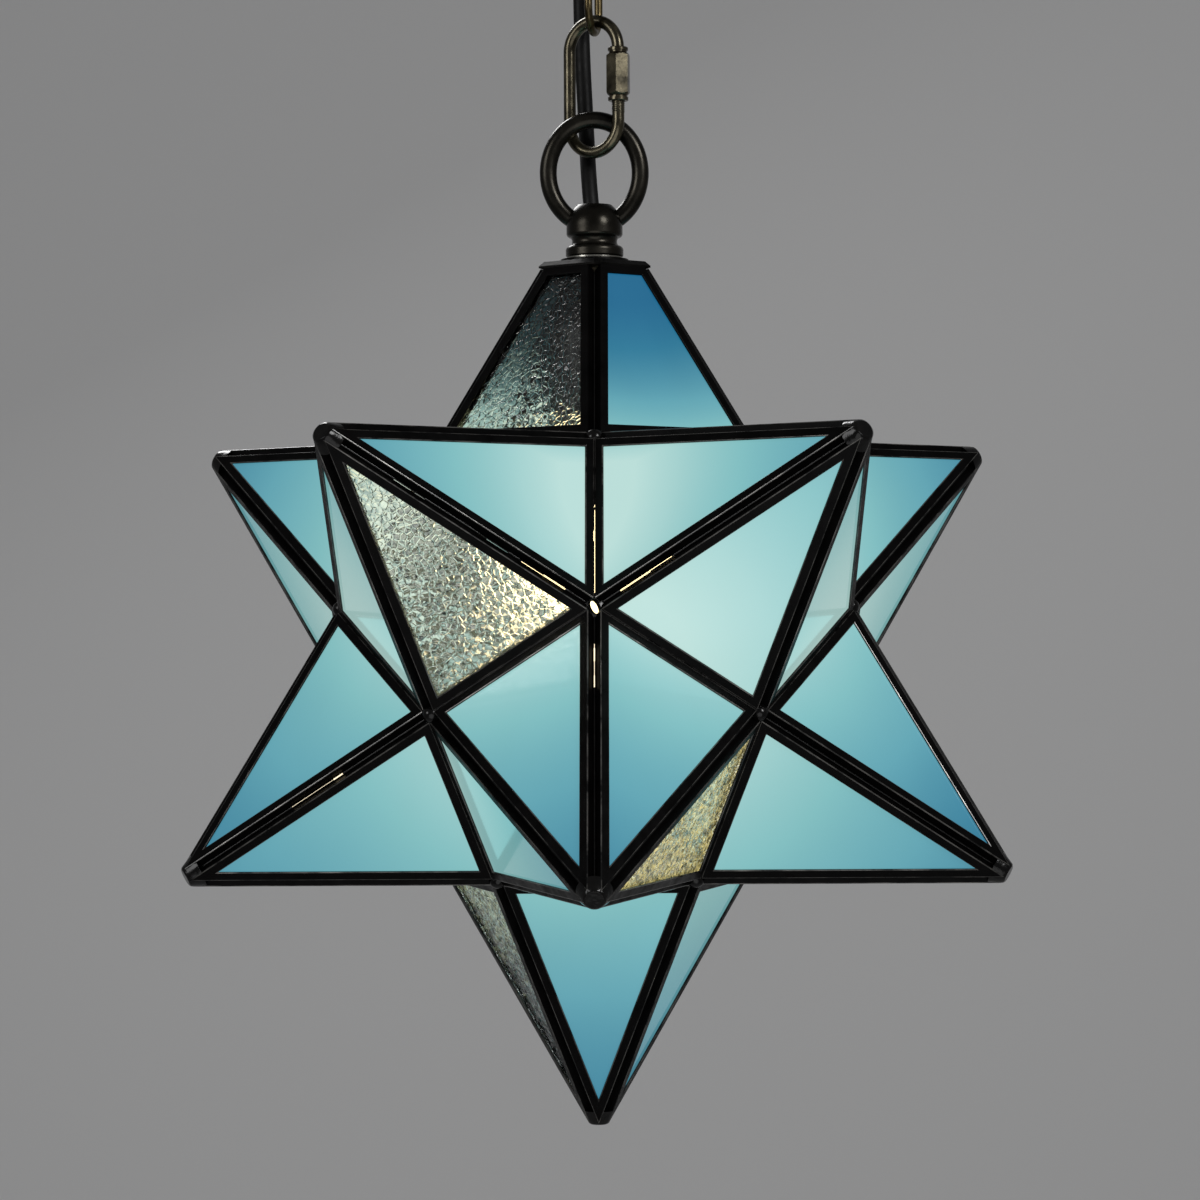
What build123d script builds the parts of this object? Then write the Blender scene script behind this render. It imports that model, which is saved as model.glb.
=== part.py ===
from build123d import *
import math
import os

# A twelve-pointed stained glass star lamp hung from a ceiling canopy by a short chain.
# All sizes are in millimetres and degrees. Z is up, the ceiling is the plane z = 0,
# and the photographed side faces -Y. Heights named *_H are measured from the star's centre.

# Star: twelve five-sided points on the faces of a dodecahedron, sized across its sharp opposite tips
STAR_WIDTH = 373.5
POINT_SIDES = 5
PHI = (1 + math.sqrt(5)) / 2
TIP_RADIUS = STAR_WIDTH / 2
FACE_DISTANCE = TIP_RADIUS / math.sqrt(5)
CORE_EDGE = 2 * FACE_DISTANCE * math.sqrt(3 - PHI) / PHI**2
POINT_HEIGHT = TIP_RADIUS - FACE_DISTANCE
VALLEY_RADIUS = CORE_EDGE * PHI * math.sqrt(3) / 2
PANEL_HEIGHT = CORE_EDGE * math.sqrt(PHI**2 - 0.25)
BASE_CIRCUMRADIUS = CORE_EDGE / (2 * math.sin(math.pi / POINT_SIDES))
BASE_INRADIUS = BASE_CIRCUMRADIUS * math.cos(math.pi / POINT_SIDES)

# Came: every pane has a U-channel frame of its own, and neighbours meet along a line
FRAME_T = 4.3
FRAME_FACE = 3.6
FRAME_WEB = 0.8
SEAM_GAP = 0.24
GLASS_T = 2.4
GLASS_PLAY = 0.05
GLASS_EDGE_PLAY = 0.15
# Half of the angle by which neighbouring panes turn from each other has 1 / PHI as its tangent
FRAME_SETBACK = FRAME_T / 2 / PHI + SEAM_GAP / 2
TIP_FLAT = 3.0
TIP_SOLDER_LENGTH = 5.5
TIP_SOLDER_SINK = 0.1
TIP_SOLDER_BEVEL = 0.5
VALLEY_SOLDER_R = 3.4

# Top of the star: the upper point is cut level, at this corner radius, and closed by a five-sided cap
CUT_REACH = 20.48
CUT_H = TIP_RADIUS - CUT_REACH * POINT_HEIGHT / BASE_CIRCUMRADIUS
CAP_T = 2.6
CAP_OVERHANG = 0.5
CAP_BEVEL = 1.8
SEAT_DISC_R = 13.4
SEAT_DISC_T = 1.4
WASHER_R = 11.0
WASHER_T = 0.9

# Hub: a turned piece that holds the ring and lets the cable out through its top
HUB_FLANGE_R = 11.4
HUB_FLANGE_H = 4.6
HUB_BEVEL = 0.6
HUB_GROOVE_R = 8.9
HUB_GROOVE_DEPTH = 0.6
HUB_GROOVE_H = 3.2
HUB_BODY_R = 11.1
HUB_DOME_H = 11.8
HUB_HEIGHT = 20.7
HUB_TOP_R = 6.9
HUB_MOUTH_R = 5.0
# The ring is an oval, taller than wide
RING_R = 18.2
RING_TALL = 21.0
RING_WIRE_R = 3.4
RING_END_X = 8.2
RING_RISE = 12.8
RING_SEAT_ANGLE = 0.3
HUB_FIT = 0.05
# How far a cutting shape runs past what it cuts
OVERRUN = 1.0

# Stem, lamp holder and bulb inside the star
STEM_R = 5.0
STEM_BORE_R = 3.5
STEM_IN_HUB = 9.0
STEM_DROP = 23.6
STEM_BOTTOM_H = CUT_H - STEM_DROP
NUT_FLATS = 15.0
NUT_T = 4.0
HOLDER_R = 19.5
HOLDER_TOP_R = 10.7
HOLDER_RIM = 3.0
HOLDER_CAP_T = 13.0
HOLDER_CAP_WALL = 3.0
HOLDER_BODY_T = 40.0
HOLDER_FLOOR = 5.0
GRIP_COUNT = 3
GRIP_PITCH = 3.0
GRIP_WIDTH = 1.0
GRIP_DEPTH = 0.7
SHELL_R = 14.2
SHELL_WALL = 0.8
SHELL_DEPTH = 27.0
CONTACT_R = 4.0
CONTACT_T = 2.2
BULB_BASE_R = 13.1
BULB_BASE_LENGTH = 25.0
BULB_BASE_GROOVE = 0.7
BULB_BASE_PITCH = 3.6
BULB_BASE_RIM = 1.0
BULB_TIP_R = 4.5
BULB_TIP_FLARE = 2.0
BULB_TIP_LENGTH = 3.0
BULB_NECK_R = 12.5
BULB_NECK_SLOPE = 0.12
BULB_GLOBE_R = 30.0
BULB_GLOBE_LIFT_ANGLE = 28.0
BULB_LENGTH = 106.0
BULB_WALL = 0.9
FILAMENT_R = 0.9
FILAMENT_SPREAD_R = 9.0
FILAMENT_LENGTH = 38.0
FILAMENT_COUNT = 4
FILAMENT_STEM_R = 3.2
FILAMENT_DISC_RIM = 1.5
FILAMENT_DISC_T = 1.5

# Hinge of the rear point, which opens for changing the bulb
KNUCKLE_R = 2.2
PIN_R = 1.1
PIN_HEAD_R = 1.8
PIN_HEAD_T = 1.0
PIN_END_PLAY = 0.5
KNUCKLE_LENGTH = 9.0
KNUCKLE_GAP = 0.3
LEAF_T = 0.8
LEAF_WIDTH = 2.0

# Quick link and chain; RUN_CLEAR is the clearance of everything that moves on something else
RUN_CLEAR = 0.3
SEAT_STEP_DEGREES = 2
SEAT_HALVINGS = 24
LINK_WIRE_R = 2.4
LINK_LENGTH = 56.8
LINK_WIDTH = 27.7
LINK_YAW = -32.8
SLEEVE_FLATS = 8.5
SLEEVE_TURN = -7.0
SLEEVE_LENGTH = 21.2
SLEEVE_TOP_GRIP = 2.6
SLEEVE_COLLAR_R = 4.0
SLEEVE_COLLAR_T = 1.4
SLEEVE_NECK_R = 3.5
SLEEVE_NECK_T = 0.6
SLEEVE_BEVEL = 0.3
LINK_GAP = 3.4
CHAIN_WIRE_R = 1.6
CHAIN_LENGTH = 46.0
CHAIN_WIDTH = 22.0
LOWER_LINK_YAW = 78.0
UPPER_LINK_YAW = -12.0
LOOP_YAW = 78.0
LOOP_R = 9.0
LOOP_WIRE_R = 2.0

# Ceiling canopy
CANOPY_R = 58.0
CANOPY_FLOOR_R = 48.0
CANOPY_DEPTH = 25.0
CANOPY_WALL = 1.2
CANOPY_ROUND = 7.0
PLATE_R = 50.0
PLATE_T = 2.0
CEILING_HOLE_R = 2.6
CEILING_HOLE_SPACING = 70.0
COLLAR_R = 10.5
COLLAR_T = 8.0
COLLAR_BEVEL = 2.0
LOOP_STEM_R = 5.0
LOOP_NECK_R = 6.5
LOOP_NECK_T = 4.0
GROMMET_X = -6.0
GROMMET_Y = 27.0
GROMMET_R = 6.0
GROMMET_LIP = 1.6
GROMMET_LIP_T = 1.8
GROMMET_BEVEL = 0.6
TERMINAL_LENGTH = 26.0
TERMINAL_WIDTH = 15.0
TERMINAL_HEIGHT = 10.0
TERMINAL_POLES = 3
TERMINAL_SCREW_R = 2.0
TERMINAL_SCREW_DEPTH = 3.0

# Power cable: how far it reaches into the hub, runs straight at its ends, and passes behind (+Y)
# and left (-X) of the ring, the quick link and the chain
CABLE_R = 3.15
CABLE_FIT = 0.3
CABLE_SEAT = 13.0
CABLE_RISE = 4.5
CABLE_DROP = 11.0
CABLE_BEHIND_RING = 18.4
CABLE_BEHIND_LINK = 18.4
CABLE_BEHIND_CHAIN = 20.6
CABLE_LEFT_IN_HUB = 1.9
CABLE_LEFT_OF_RING = 3.3
CABLE_LEFT_OF_LINK = 5.0
CABLE_LEFT_OF_CHAIN = 5.4
CABLE_FILLET_SHARE = 0.45


def unit(v):
    return Vector(*v).normalized()


def tip_direction(azimuth, height):
    """Direction of a point's tip; azimuth counts from the front (-Y) towards +X."""
    level = math.sqrt(1 - height**2)
    turn = math.radians(azimuth)
    return Vector(level * math.sin(turn), -level * math.cos(turn), height)


RING_LEVEL = 1 / math.sqrt(5)
TIPS = {
    "top": tip_direction(0, 1),
    "upper_front_left": tip_direction(-36, RING_LEVEL),
    "upper_front_right": tip_direction(36, RING_LEVEL),
    "upper_left": tip_direction(-108, RING_LEVEL),
    "upper_right": tip_direction(108, RING_LEVEL),
    "upper_back": tip_direction(180, RING_LEVEL),
    "lower_front": tip_direction(0, -RING_LEVEL),
    "lower_left": tip_direction(-72, -RING_LEVEL),
    "lower_right": tip_direction(72, -RING_LEVEL),
    "lower_back_left": tip_direction(-144, -RING_LEVEL),
    "lower_back_right": tip_direction(144, -RING_LEVEL),
    "bottom": tip_direction(0, -1),
}
DOOR = "upper_back"
OPEN_CORNER = {"upper_front_left", "upper_front_right", "lower_front"}

# Each point has one clear textured pane, on the side of the point named here
CLEAR_SIDE = {
    "top": "upper_front_left",
    "upper_front_left": "lower_front",
    "upper_front_right": "upper_right",
    "upper_left": "upper_back",
    "upper_right": "lower_back_right",
    "upper_back": "lower_back_left",
    "lower_front": "lower_right",
    "lower_left": "lower_back_left",
    "lower_right": "bottom",
    "lower_back_left": "upper_left",
    "lower_back_right": "lower_back_left",
    "bottom": "lower_left",
}


def neighbours(name):
    """The five points beside a point."""
    return [other for other, d in TIPS.items() if 0.1 < d.dot(TIPS[name]) < 0.9]


def panel_plane(name, side):
    """Plane of one pane: origin at the middle of its base edge, y to the tip, z outwards."""
    tip = TIPS[name] * TIP_RADIUS
    outward = TIPS[side]
    middle = unit(TIPS[name] + TIPS[side]) * (CORE_EDGE * PHI**2 / 2)
    up = unit(tip - middle)
    return Plane(origin=middle, x_dir=up.cross(outward), z_dir=outward)


def valley_points():
    """The twenty valley corners as (names of the three points around it, direction)."""
    names = list(TIPS)
    found = []
    for i, a in enumerate(names):
        for j, b in enumerate(names[i + 1:], i + 1):
            for c in names[j + 1:]:
                if b in neighbours(a) and c in neighbours(a) and c in neighbours(b):
                    found.append(((a, b, c), unit(TIPS[a] + TIPS[b] + TIPS[c])))
    return found


def pane_outline(inset, cut=None):
    """Corners of a pane's triangle moved in by inset; a cut pane also stops short of its tip."""
    half = CORE_EDGE / 2
    side = math.hypot(half, PANEL_HEIGHT)
    in_radius = half * PANEL_HEIGHT / (half + side)
    shrink = 1 - inset / in_radius
    corners = [(-half, 0), (half, 0), (0, PANEL_HEIGHT)]
    left, right, tip = [(x * shrink, in_radius + (y - in_radius) * shrink) for x, y in corners]
    if cut is None:
        return [left, right, tip]
    stop = cut - (inset - FRAME_SETBACK)
    share = (tip[1] - stop) / (tip[1] - left[1])
    return [left, right, (right[0] * share, stop), (left[0] * share, stop)]


def slab(corners, thickness):
    """A plate with these corners, centred on the XY plane."""
    return extrude(make_face(Polyline(*corners, close=True)), thickness / 2, both=True)


def frame_block(cut=None):
    """The space that a frame and its pane take up together."""
    return slab(pane_outline(FRAME_SETBACK, cut), FRAME_T)


def came_frame(cut=None):
    """U-channel frame, mitred and soldered at its corners."""
    window = slab(pane_outline(FRAME_SETBACK + FRAME_FACE, cut), 2 * FRAME_T)
    slot = slab(pane_outline(FRAME_SETBACK + FRAME_WEB, cut), GLASS_T + 2 * GLASS_PLAY)
    return frame_block(cut) - window - slot


def glass_pane(cut=None):
    return slab(pane_outline(FRAME_SETBACK + FRAME_WEB + GLASS_EDGE_PLAY, cut), GLASS_T)


def cut_line():
    """Where the level cut crosses a top pane, measured along the pane from its base edge."""
    slope = POINT_HEIGHT / PANEL_HEIGHT
    return (CUT_H - FACE_DISTANCE) / slope - FRAME_T / 2 * math.tan(math.acos(slope))


def largest(shape):
    """The largest solid of a shape."""
    return max(shape.solids(), key=lambda s: s.volume)


def facing(axis, towards):
    """Location at the star's centre with z along axis and x turned towards another direction."""
    return Plane(origin=(0, 0, 0), x_dir=towards - axis * towards.dot(axis), z_dir=axis).location


def blob_between(blob, place, pairs):
    """What the frames of the given (point, side) panes leave of a blob drawn in place's own axes."""
    for name, side in pairs:
        blob = blob - place.inverse() * panel_plane(name, side).location * frame_block()
    return largest(blob)


def tip_solder():
    """Blunt plug between the frames of a point's tip, on the z axis with the star's centre at the origin."""
    name = "bottom"
    sides = neighbours(name)

    def radius(back):
        across = back * BASE_INRADIUS + FRAME_T / 2 * PANEL_HEIGHT
        return across / POINT_HEIGHT - TIP_SOLDER_SINK

    end = TIP_RADIUS - TIP_FLAT
    plug = turned(
        [
            (0, end - TIP_SOLDER_LENGTH),
            (radius(TIP_FLAT + TIP_SOLDER_LENGTH), end - TIP_SOLDER_LENGTH),
            (radius(TIP_FLAT + TIP_SOLDER_BEVEL), end - TIP_SOLDER_BEVEL),
            (radius(TIP_FLAT) - TIP_SOLDER_BEVEL, end),
            (0, end),
        ]
    )
    return blob_between(plug, facing(TIPS[name], TIPS[sides[0]]), [(name, side) for side in sides])


def valley_solder():
    """Blob that closes a valley corner, on the z axis with the star's centre at the origin."""
    names, axis = valley_points()[0]
    ball = Pos(0, 0, VALLEY_RADIUS) * Sphere(VALLEY_SOLDER_R)
    pairs = [(name, side) for name in names for side in names if name != side]
    return blob_between(ball, facing(axis, TIPS[names[0]]), pairs)


def turned(points):
    """Solid turned about the z axis from a closed list of (radius, height) corners."""
    return revolve(make_face(Plane.XZ * Polyline(*points, close=True)), Axis.Z)


def rod(radius, low, high):
    """Upright round rod on the z axis between two heights."""
    return Pos(0, 0, low) * Cylinder(radius, high - low, align=(Align.CENTER, Align.CENTER, Align.MIN))


def bore(radius, low, high):
    """Cutting rod between two heights that runs past both."""
    return rod(radius, low - OVERRUN, high + OVERRUN)


def hexagon_rod(flats, low, high):
    """Upright hexagonal rod on the z axis between two heights."""
    return Pos(0, 0, low) * extrude(RegularPolygon(flats / 2, 6, major_radius=False), high - low)


# Stack of pieces on the star's top, as heights above the star's centre
CAP_H = CUT_H + CAP_T
DISC_H = CAP_H + SEAT_DISC_T
HUB_H = DISC_H + WASHER_T
HUB_TOP_H = HUB_H + HUB_HEIGHT
RING_H = HUB_TOP_H + RING_RISE
HOLDER_TOP_H = STEM_BOTTOM_H + HOLDER_CAP_T - HOLDER_CAP_WALL
BODY_TOP_H = HOLDER_TOP_H - HOLDER_CAP_T
SHELL_TOP_H = BODY_TOP_H - HOLDER_FLOOR
BULB_TOP_H = SHELL_TOP_H - CONTACT_T - RUN_CLEAR


def top_cap():
    """Five-sided cap with bevelled upper edges, bored for the stem."""
    radius = CUT_REACH + FRAME_T / 2 + CAP_OVERHANG
    plate = extrude(Rot(0, 0, -90) * RegularPolygon(radius, POINT_SIDES), CAP_T)
    plate = chamfer(plate.faces().sort_by(Axis.Z)[-1].edges(), CAP_BEVEL)
    return Pos(0, 0, CUT_H) * plate - bore(STEM_R + HUB_FIT, CUT_H, CAP_H)


def stem_washer(radius, low, high):
    """Round washer on the stem."""
    return rod(radius, low, high) - bore(STEM_R + HUB_FIT, low, high)


def hanging_ring(wire_radius=RING_WIRE_R, extra=0.0):
    """Oval ring of round bar in the XZ plane, open at the bottom where its ends sit in the hub."""
    end = math.degrees(math.acos(RING_END_X / RING_R)) + extra
    oval = EllipticalCenterArc((0, 0), RING_R, RING_TALL, start_angle=-end, arc_size=180 + 2 * end)
    path = Plane.XZ * oval
    bar = sweep(Plane(origin=path @ 0, z_dir=path % 0) * Circle(wire_radius), path)
    return Pos(0, 0, RING_H) * bar


def hub_outline():
    """Half section of the hub: rounded flange, hollow groove and domed body."""
    groove_top = HUB_FLANGE_H + HUB_GROOVE_H
    edge = HUB_GROOVE_R + HUB_GROOVE_DEPTH
    flange_side = HUB_FLANGE_H - (HUB_FLANGE_R - edge)
    body_side = groove_top + (HUB_BODY_R - edge)
    with BuildSketch(Plane.XZ) as outline:
        with BuildLine():
            Polyline((0, HUB_HEIGHT), (0, 0), (HUB_FLANGE_R - HUB_BEVEL, 0), (HUB_FLANGE_R, HUB_BEVEL))
            Line((HUB_FLANGE_R, HUB_BEVEL), (HUB_FLANGE_R, flange_side))
            TangentArc((HUB_FLANGE_R, flange_side), (edge, HUB_FLANGE_H), tangent=(0, 1))
            ThreePointArc(
                (edge, HUB_FLANGE_H), (HUB_GROOVE_R, HUB_FLANGE_H + HUB_GROOVE_H / 2), (edge, groove_top)
            )
            TangentArc((edge, groove_top), (HUB_BODY_R, body_side), tangent=(1, 0))
            Line((HUB_BODY_R, body_side), (HUB_BODY_R, HUB_DOME_H))
            TangentArc((HUB_BODY_R, HUB_DOME_H), (HUB_TOP_R, HUB_HEIGHT), tangent=(0, 1))
            Line((HUB_TOP_R, HUB_HEIGHT), (0, HUB_HEIGHT))
        make_face()
    return outline.sketch


def loop_hub():
    """Turned hub with a mouth for the cable, a bore for the stem and two seats for the ring."""
    stem_top = HUB_H + STEM_IN_HUB + HUB_FIT
    solid = Pos(0, 0, HUB_H) * revolve(hub_outline(), Axis.Z)
    solid = solid - rod(HUB_MOUTH_R, stem_top, HUB_TOP_H + OVERRUN)
    solid = solid - rod(STEM_R + HUB_FIT, HUB_H - OVERRUN, stem_top)
    return largest(solid - hanging_ring(RING_WIRE_R + HUB_FIT, RING_SEAT_ANGLE))


def stem_tube():
    top = HUB_H + STEM_IN_HUB
    return rod(STEM_R, STEM_BOTTOM_H, top) - bore(STEM_BORE_R, STEM_BOTTOM_H, top)


def lock_nut():
    """Hexagon nut that clamps the cap from inside the star."""
    return hexagon_rod(NUT_FLATS, CUT_H - NUT_T, CUT_H) - bore(STEM_R + HUB_FIT, CUT_H - NUT_T, CUT_H)


def holder_cap():
    """Domed cap of the lamp holder, screwed onto the stem."""
    low, high = BODY_TOP_H, HOLDER_TOP_H
    inside = HOLDER_R - HOLDER_CAP_WALL
    dome = turned(
        [
            (0, low),
            (HOLDER_R, low),
            (HOLDER_R, low + HOLDER_RIM),
            (HOLDER_TOP_R, high),
            (0, high),
        ]
    )
    hollow = turned(
        [
            (0, low - OVERRUN),
            (inside, low - OVERRUN),
            (inside, low + HOLDER_RIM / 2),
            (HOLDER_TOP_R - HOLDER_CAP_WALL / 2, STEM_BOTTOM_H),
            (0, STEM_BOTTOM_H),
        ]
    )
    return dome - hollow - bore(STEM_R + HUB_FIT, STEM_BOTTOM_H, high)


def holder_body():
    """Tubular holder with grip grooves and a floor at the top that carries the shell and the contact."""
    low = BODY_TOP_H - HOLDER_BODY_T
    solid = rod(HOLDER_R, low, BODY_TOP_H)
    solid = solid - rod(SHELL_R + SHELL_WALL + HUB_FIT, low - OVERRUN, SHELL_TOP_H)
    core = rod(HOLDER_R - GRIP_DEPTH, low, BODY_TOP_H)
    for number in range(GRIP_COUNT):
        foot = low + (number + 1) * GRIP_PITCH
        solid = solid - (rod(HOLDER_R + OVERRUN, foot, foot + GRIP_WIDTH) - core)
    return solid


def screw_shell():
    low = SHELL_TOP_H - SHELL_DEPTH
    return rod(SHELL_R + SHELL_WALL, low, SHELL_TOP_H) - bore(SHELL_R, low, SHELL_TOP_H)


def centre_contact():
    return rod(CONTACT_R, SHELL_TOP_H - CONTACT_T, SHELL_TOP_H)


def bulb_base():
    """Screw base of the bulb, with rounded thread ridges and an end contact."""
    top = BULB_TOP_H
    shoulder = top - BULB_TIP_LENGTH
    low = shoulder - BULB_BASE_LENGTH
    points = [
        (0, top),
        (BULB_TIP_R, top),
        (BULB_TIP_R + BULB_TIP_FLARE, shoulder),
        (BULB_BASE_R - BULB_TIP_FLARE, shoulder),
    ]
    height = shoulder - BULB_BASE_RIM
    points.append((BULB_BASE_R - BULB_BASE_GROOVE, height))
    while height - BULB_BASE_PITCH > low + BULB_BASE_PITCH:
        points.append((BULB_BASE_R, height - BULB_BASE_PITCH / 2))
        points.append((BULB_BASE_R - BULB_BASE_GROOVE, height - BULB_BASE_PITCH))
        height = height - BULB_BASE_PITCH
    points += [(BULB_BASE_R, height - BULB_BASE_RIM), (BULB_BASE_R, low), (0, low)]
    return turned(points)


def bulb_profile(inset):
    """Half outline of the bulb's glass, moved in by inset, as a closed sketch face."""
    top = BULB_TOP_H - BULB_TIP_LENGTH - BULB_BASE_LENGTH
    bottom = BULB_TOP_H - BULB_LENGTH
    centre = bottom + BULB_GLOBE_R
    globe = BULB_GLOBE_R - inset
    neck = (BULB_NECK_R - inset, top - inset)
    lift = math.radians(BULB_GLOBE_LIFT_ANGLE)
    half_way = (lift - math.pi / 2) / 2
    shoulder = (globe * math.cos(lift), centre + globe * math.sin(lift))
    side = (globe * math.cos(half_way), centre + globe * math.sin(half_way))
    with BuildSketch(Plane.XZ) as outline:
        with BuildLine():
            Line((0, top - inset), neck)
            Spline(neck, shoulder, tangents=[(BULB_NECK_SLOPE, -1), (math.sin(lift), -math.cos(lift))])
            ThreePointArc(shoulder, side, (0, centre - globe))
            Line((0, centre - globe), (0, top - inset))
        make_face()
    return outline.sketch


def bulb_glass():
    return revolve(bulb_profile(0), Axis.Z) - revolve(bulb_profile(BULB_WALL), Axis.Z)


def bulb_filament():
    """Glass stem with a disc that carries four upright filament rods."""
    top = BULB_TOP_H - BULB_TIP_LENGTH - BULB_BASE_LENGTH - BULB_WALL
    middle = BULB_TOP_H - BULB_LENGTH + BULB_GLOBE_R
    high = middle + FILAMENT_LENGTH / 2
    disc = rod(FILAMENT_SPREAD_R + FILAMENT_DISC_RIM, high, high + FILAMENT_DISC_T)
    stick = rod(FILAMENT_R, high - FILAMENT_LENGTH, high)
    sticks = [place * stick for place in PolarLocations(FILAMENT_SPREAD_R, FILAMENT_COUNT)]
    return rod(FILAMENT_STEM_R, high, top).fuse(disc, *sticks)


def hinge_axis_local():
    """Where the hinge's axis crosses a pane's own y and z, the same for both panes beside it."""
    height = FRAME_T / 2 + RUN_CLEAR + KNUCKLE_R
    return height / PHI, height


def hinge_leaf(number):
    """Hinge leaf on a frame's outer face with one knuckle, counted from the middle of the hinge."""
    y, z = hinge_axis_local()
    middle = number * (KNUCKLE_LENGTH + KNUCKLE_GAP)
    barrel = Pos(middle, y, z) * Rot(0, 90, 0) * Cylinder(KNUCKLE_R, KNUCKLE_LENGTH)
    strap = Pos(middle, y, FRAME_T / 2) * Box(
        KNUCKLE_LENGTH, LEAF_WIDTH, LEAF_T, align=(Align.CENTER, Align.MIN, Align.MIN)
    )
    bore = Pos(middle, y, z) * Rot(0, 90, 0) * Cylinder(PIN_R + RUN_CLEAR / 2, 2 * KNUCKLE_LENGTH)
    return barrel + strap - bore


def hinge_pin():
    y, z = hinge_axis_local()
    length = 3 * KNUCKLE_LENGTH + 2 * KNUCKLE_GAP + 2 * PIN_END_PLAY
    shaft = Pos(0, y, z) * Rot(0, 90, 0) * Cylinder(PIN_R, length)
    head = Rot(0, 90, 0) * Cylinder(PIN_HEAD_R, PIN_HEAD_T)
    heads = [Pos(side * (length + PIN_HEAD_T) / 2, y, z) * head for side in (-1, 1)]
    return shaft.fuse(*heads)


def oval_link(length, width, wire_radius):
    """Closed oval link in the XZ plane, standing on the origin with its lowest wire centre."""
    bend = width / 2 - wire_radius
    straight = length - width
    section = Plane.XY * (Pos(bend, 0) * Circle(wire_radius))
    lower = Pos(0, 0, bend) * revolve(section, Axis.Y, 180)
    upper = Pos(0, 0, bend + straight) * revolve(section, Axis.Y, -180)
    legs = [Pos(s * bend, 0, bend) * rod(wire_radius, 0, straight) for s in (-1, 1)]
    return lower.fuse(upper, *legs)


def link_seat():
    """Height of the ring's upper wire over the quick link's lower bend, where the ring just hangs clear."""
    bend = LINK_WIDTH / 2 - LINK_WIRE_R
    yaw = math.radians(LINK_YAW)
    wanted = LINK_WIRE_R + RING_WIRE_R + RUN_CLEAR
    bow = []
    for degrees in range(-90, 91, SEAT_STEP_DEGREES):
        turn = math.radians(degrees)
        bow.append((RING_R * math.sin(turn), 0.0, RING_TALL * (math.cos(turn) - 1)))
    hook = []
    for degrees in range(0, 181, SEAT_STEP_DEGREES):
        turn = math.radians(degrees)
        along = bend * math.cos(turn)
        hook.append((along * math.cos(yaw), along * math.sin(yaw), -bend * math.sin(turn)))

    def clear(height):
        return min(math.dist((x, y, z + height), p) for x, y, z in bow for p in hook) >= wanted

    low, high = -bend, bend / 2
    for _ in range(SEAT_HALVINGS):
        middle = (low + high) / 2
        if clear(middle):
            high = middle
        else:
            low = middle
    return high


# Heights of the quick link, the chain and the canopy above the star's centre
LINK_BEND = LINK_WIDTH / 2 - LINK_WIRE_R
LINK_LOW_H = RING_H + RING_TALL - link_seat() - LINK_BEND
LINK_HIGH_H = LINK_LOW_H + LINK_LENGTH - 2 * LINK_WIRE_R
LINK_LEG_LOW_H = LINK_LOW_H + LINK_BEND
LINK_LEG_HIGH_H = LINK_HIGH_H - LINK_BEND
SLEEVE_TOP_H = LINK_LEG_HIGH_H
CHAIN_BEND = CHAIN_WIDTH / 2 - CHAIN_WIRE_R
LOWER_LINK_H = LINK_HIGH_H - LINK_WIRE_R - CHAIN_WIRE_R - RUN_CLEAR
CHAIN_PITCH = CHAIN_LENGTH - 4 * CHAIN_WIRE_R - RUN_CLEAR
UPPER_LINK_H = LOWER_LINK_H + CHAIN_PITCH
LOOP_LOW_H = UPPER_LINK_H + CHAIN_LENGTH - 3 * CHAIN_WIRE_R - LOOP_WIRE_R - RUN_CLEAR
LOOP_H = LOOP_LOW_H + LOOP_R
CANOPY_H = LOOP_H + LOOP_R + LOOP_NECK_T + COLLAR_T
STAR_Z = -(CANOPY_H + CANOPY_DEPTH)


def quick_link_body():
    """Oval of round rod whose right leg has a gap, bridged by the sleeve nut."""
    solid = Pos(0, 0, LINK_LOW_H) * oval_link(LINK_LENGTH, LINK_WIDTH, LINK_WIRE_R)
    gap_top = SLEEVE_TOP_H - SLEEVE_TOP_GRIP
    gap = Pos(LINK_BEND, 0, gap_top - LINK_GAP) * Box(
        LINK_BEND, LINK_BEND, LINK_GAP, align=(Align.CENTER, Align.CENTER, Align.MIN)
    )
    return Rot(0, 0, LINK_YAW) * (solid - gap)


def quick_link_sleeve():
    """Hexagonal sleeve nut on the quick link's right leg, with a turned neck and collar at each end."""
    middle = SLEEVE_TOP_H - SLEEVE_LENGTH / 2
    corner = SLEEVE_FLATS / math.sqrt(3)
    end = SLEEVE_LENGTH / 2
    neck = end - SLEEVE_COLLAR_T
    body = neck - SLEEVE_NECK_T
    side = [
        (corner, body - (corner - SLEEVE_NECK_R)),
        (SLEEVE_NECK_R, body),
        (SLEEVE_NECK_R, neck),
        (SLEEVE_COLLAR_R, neck),
        (SLEEVE_COLLAR_R, end - SLEEVE_BEVEL),
        (SLEEVE_COLLAR_R - SLEEVE_BEVEL, end),
        (0, end),
    ]
    barrel = turned(side + [(r, -z) for r, z in reversed(side)])
    nut = Rot(0, 0, SLEEVE_TURN) * hexagon_rod(SLEEVE_FLATS, -end, end)
    nut = (nut & barrel) - bore(LINK_WIRE_R + RUN_CLEAR, -end, end)
    return Rot(0, 0, LINK_YAW) * Pos(LINK_BEND, 0, middle) * nut


def chain_link(height, yaw):
    return Rot(0, 0, yaw) * Pos(0, 0, height) * oval_link(CHAIN_LENGTH, CHAIN_WIDTH, CHAIN_WIRE_R)


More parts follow.
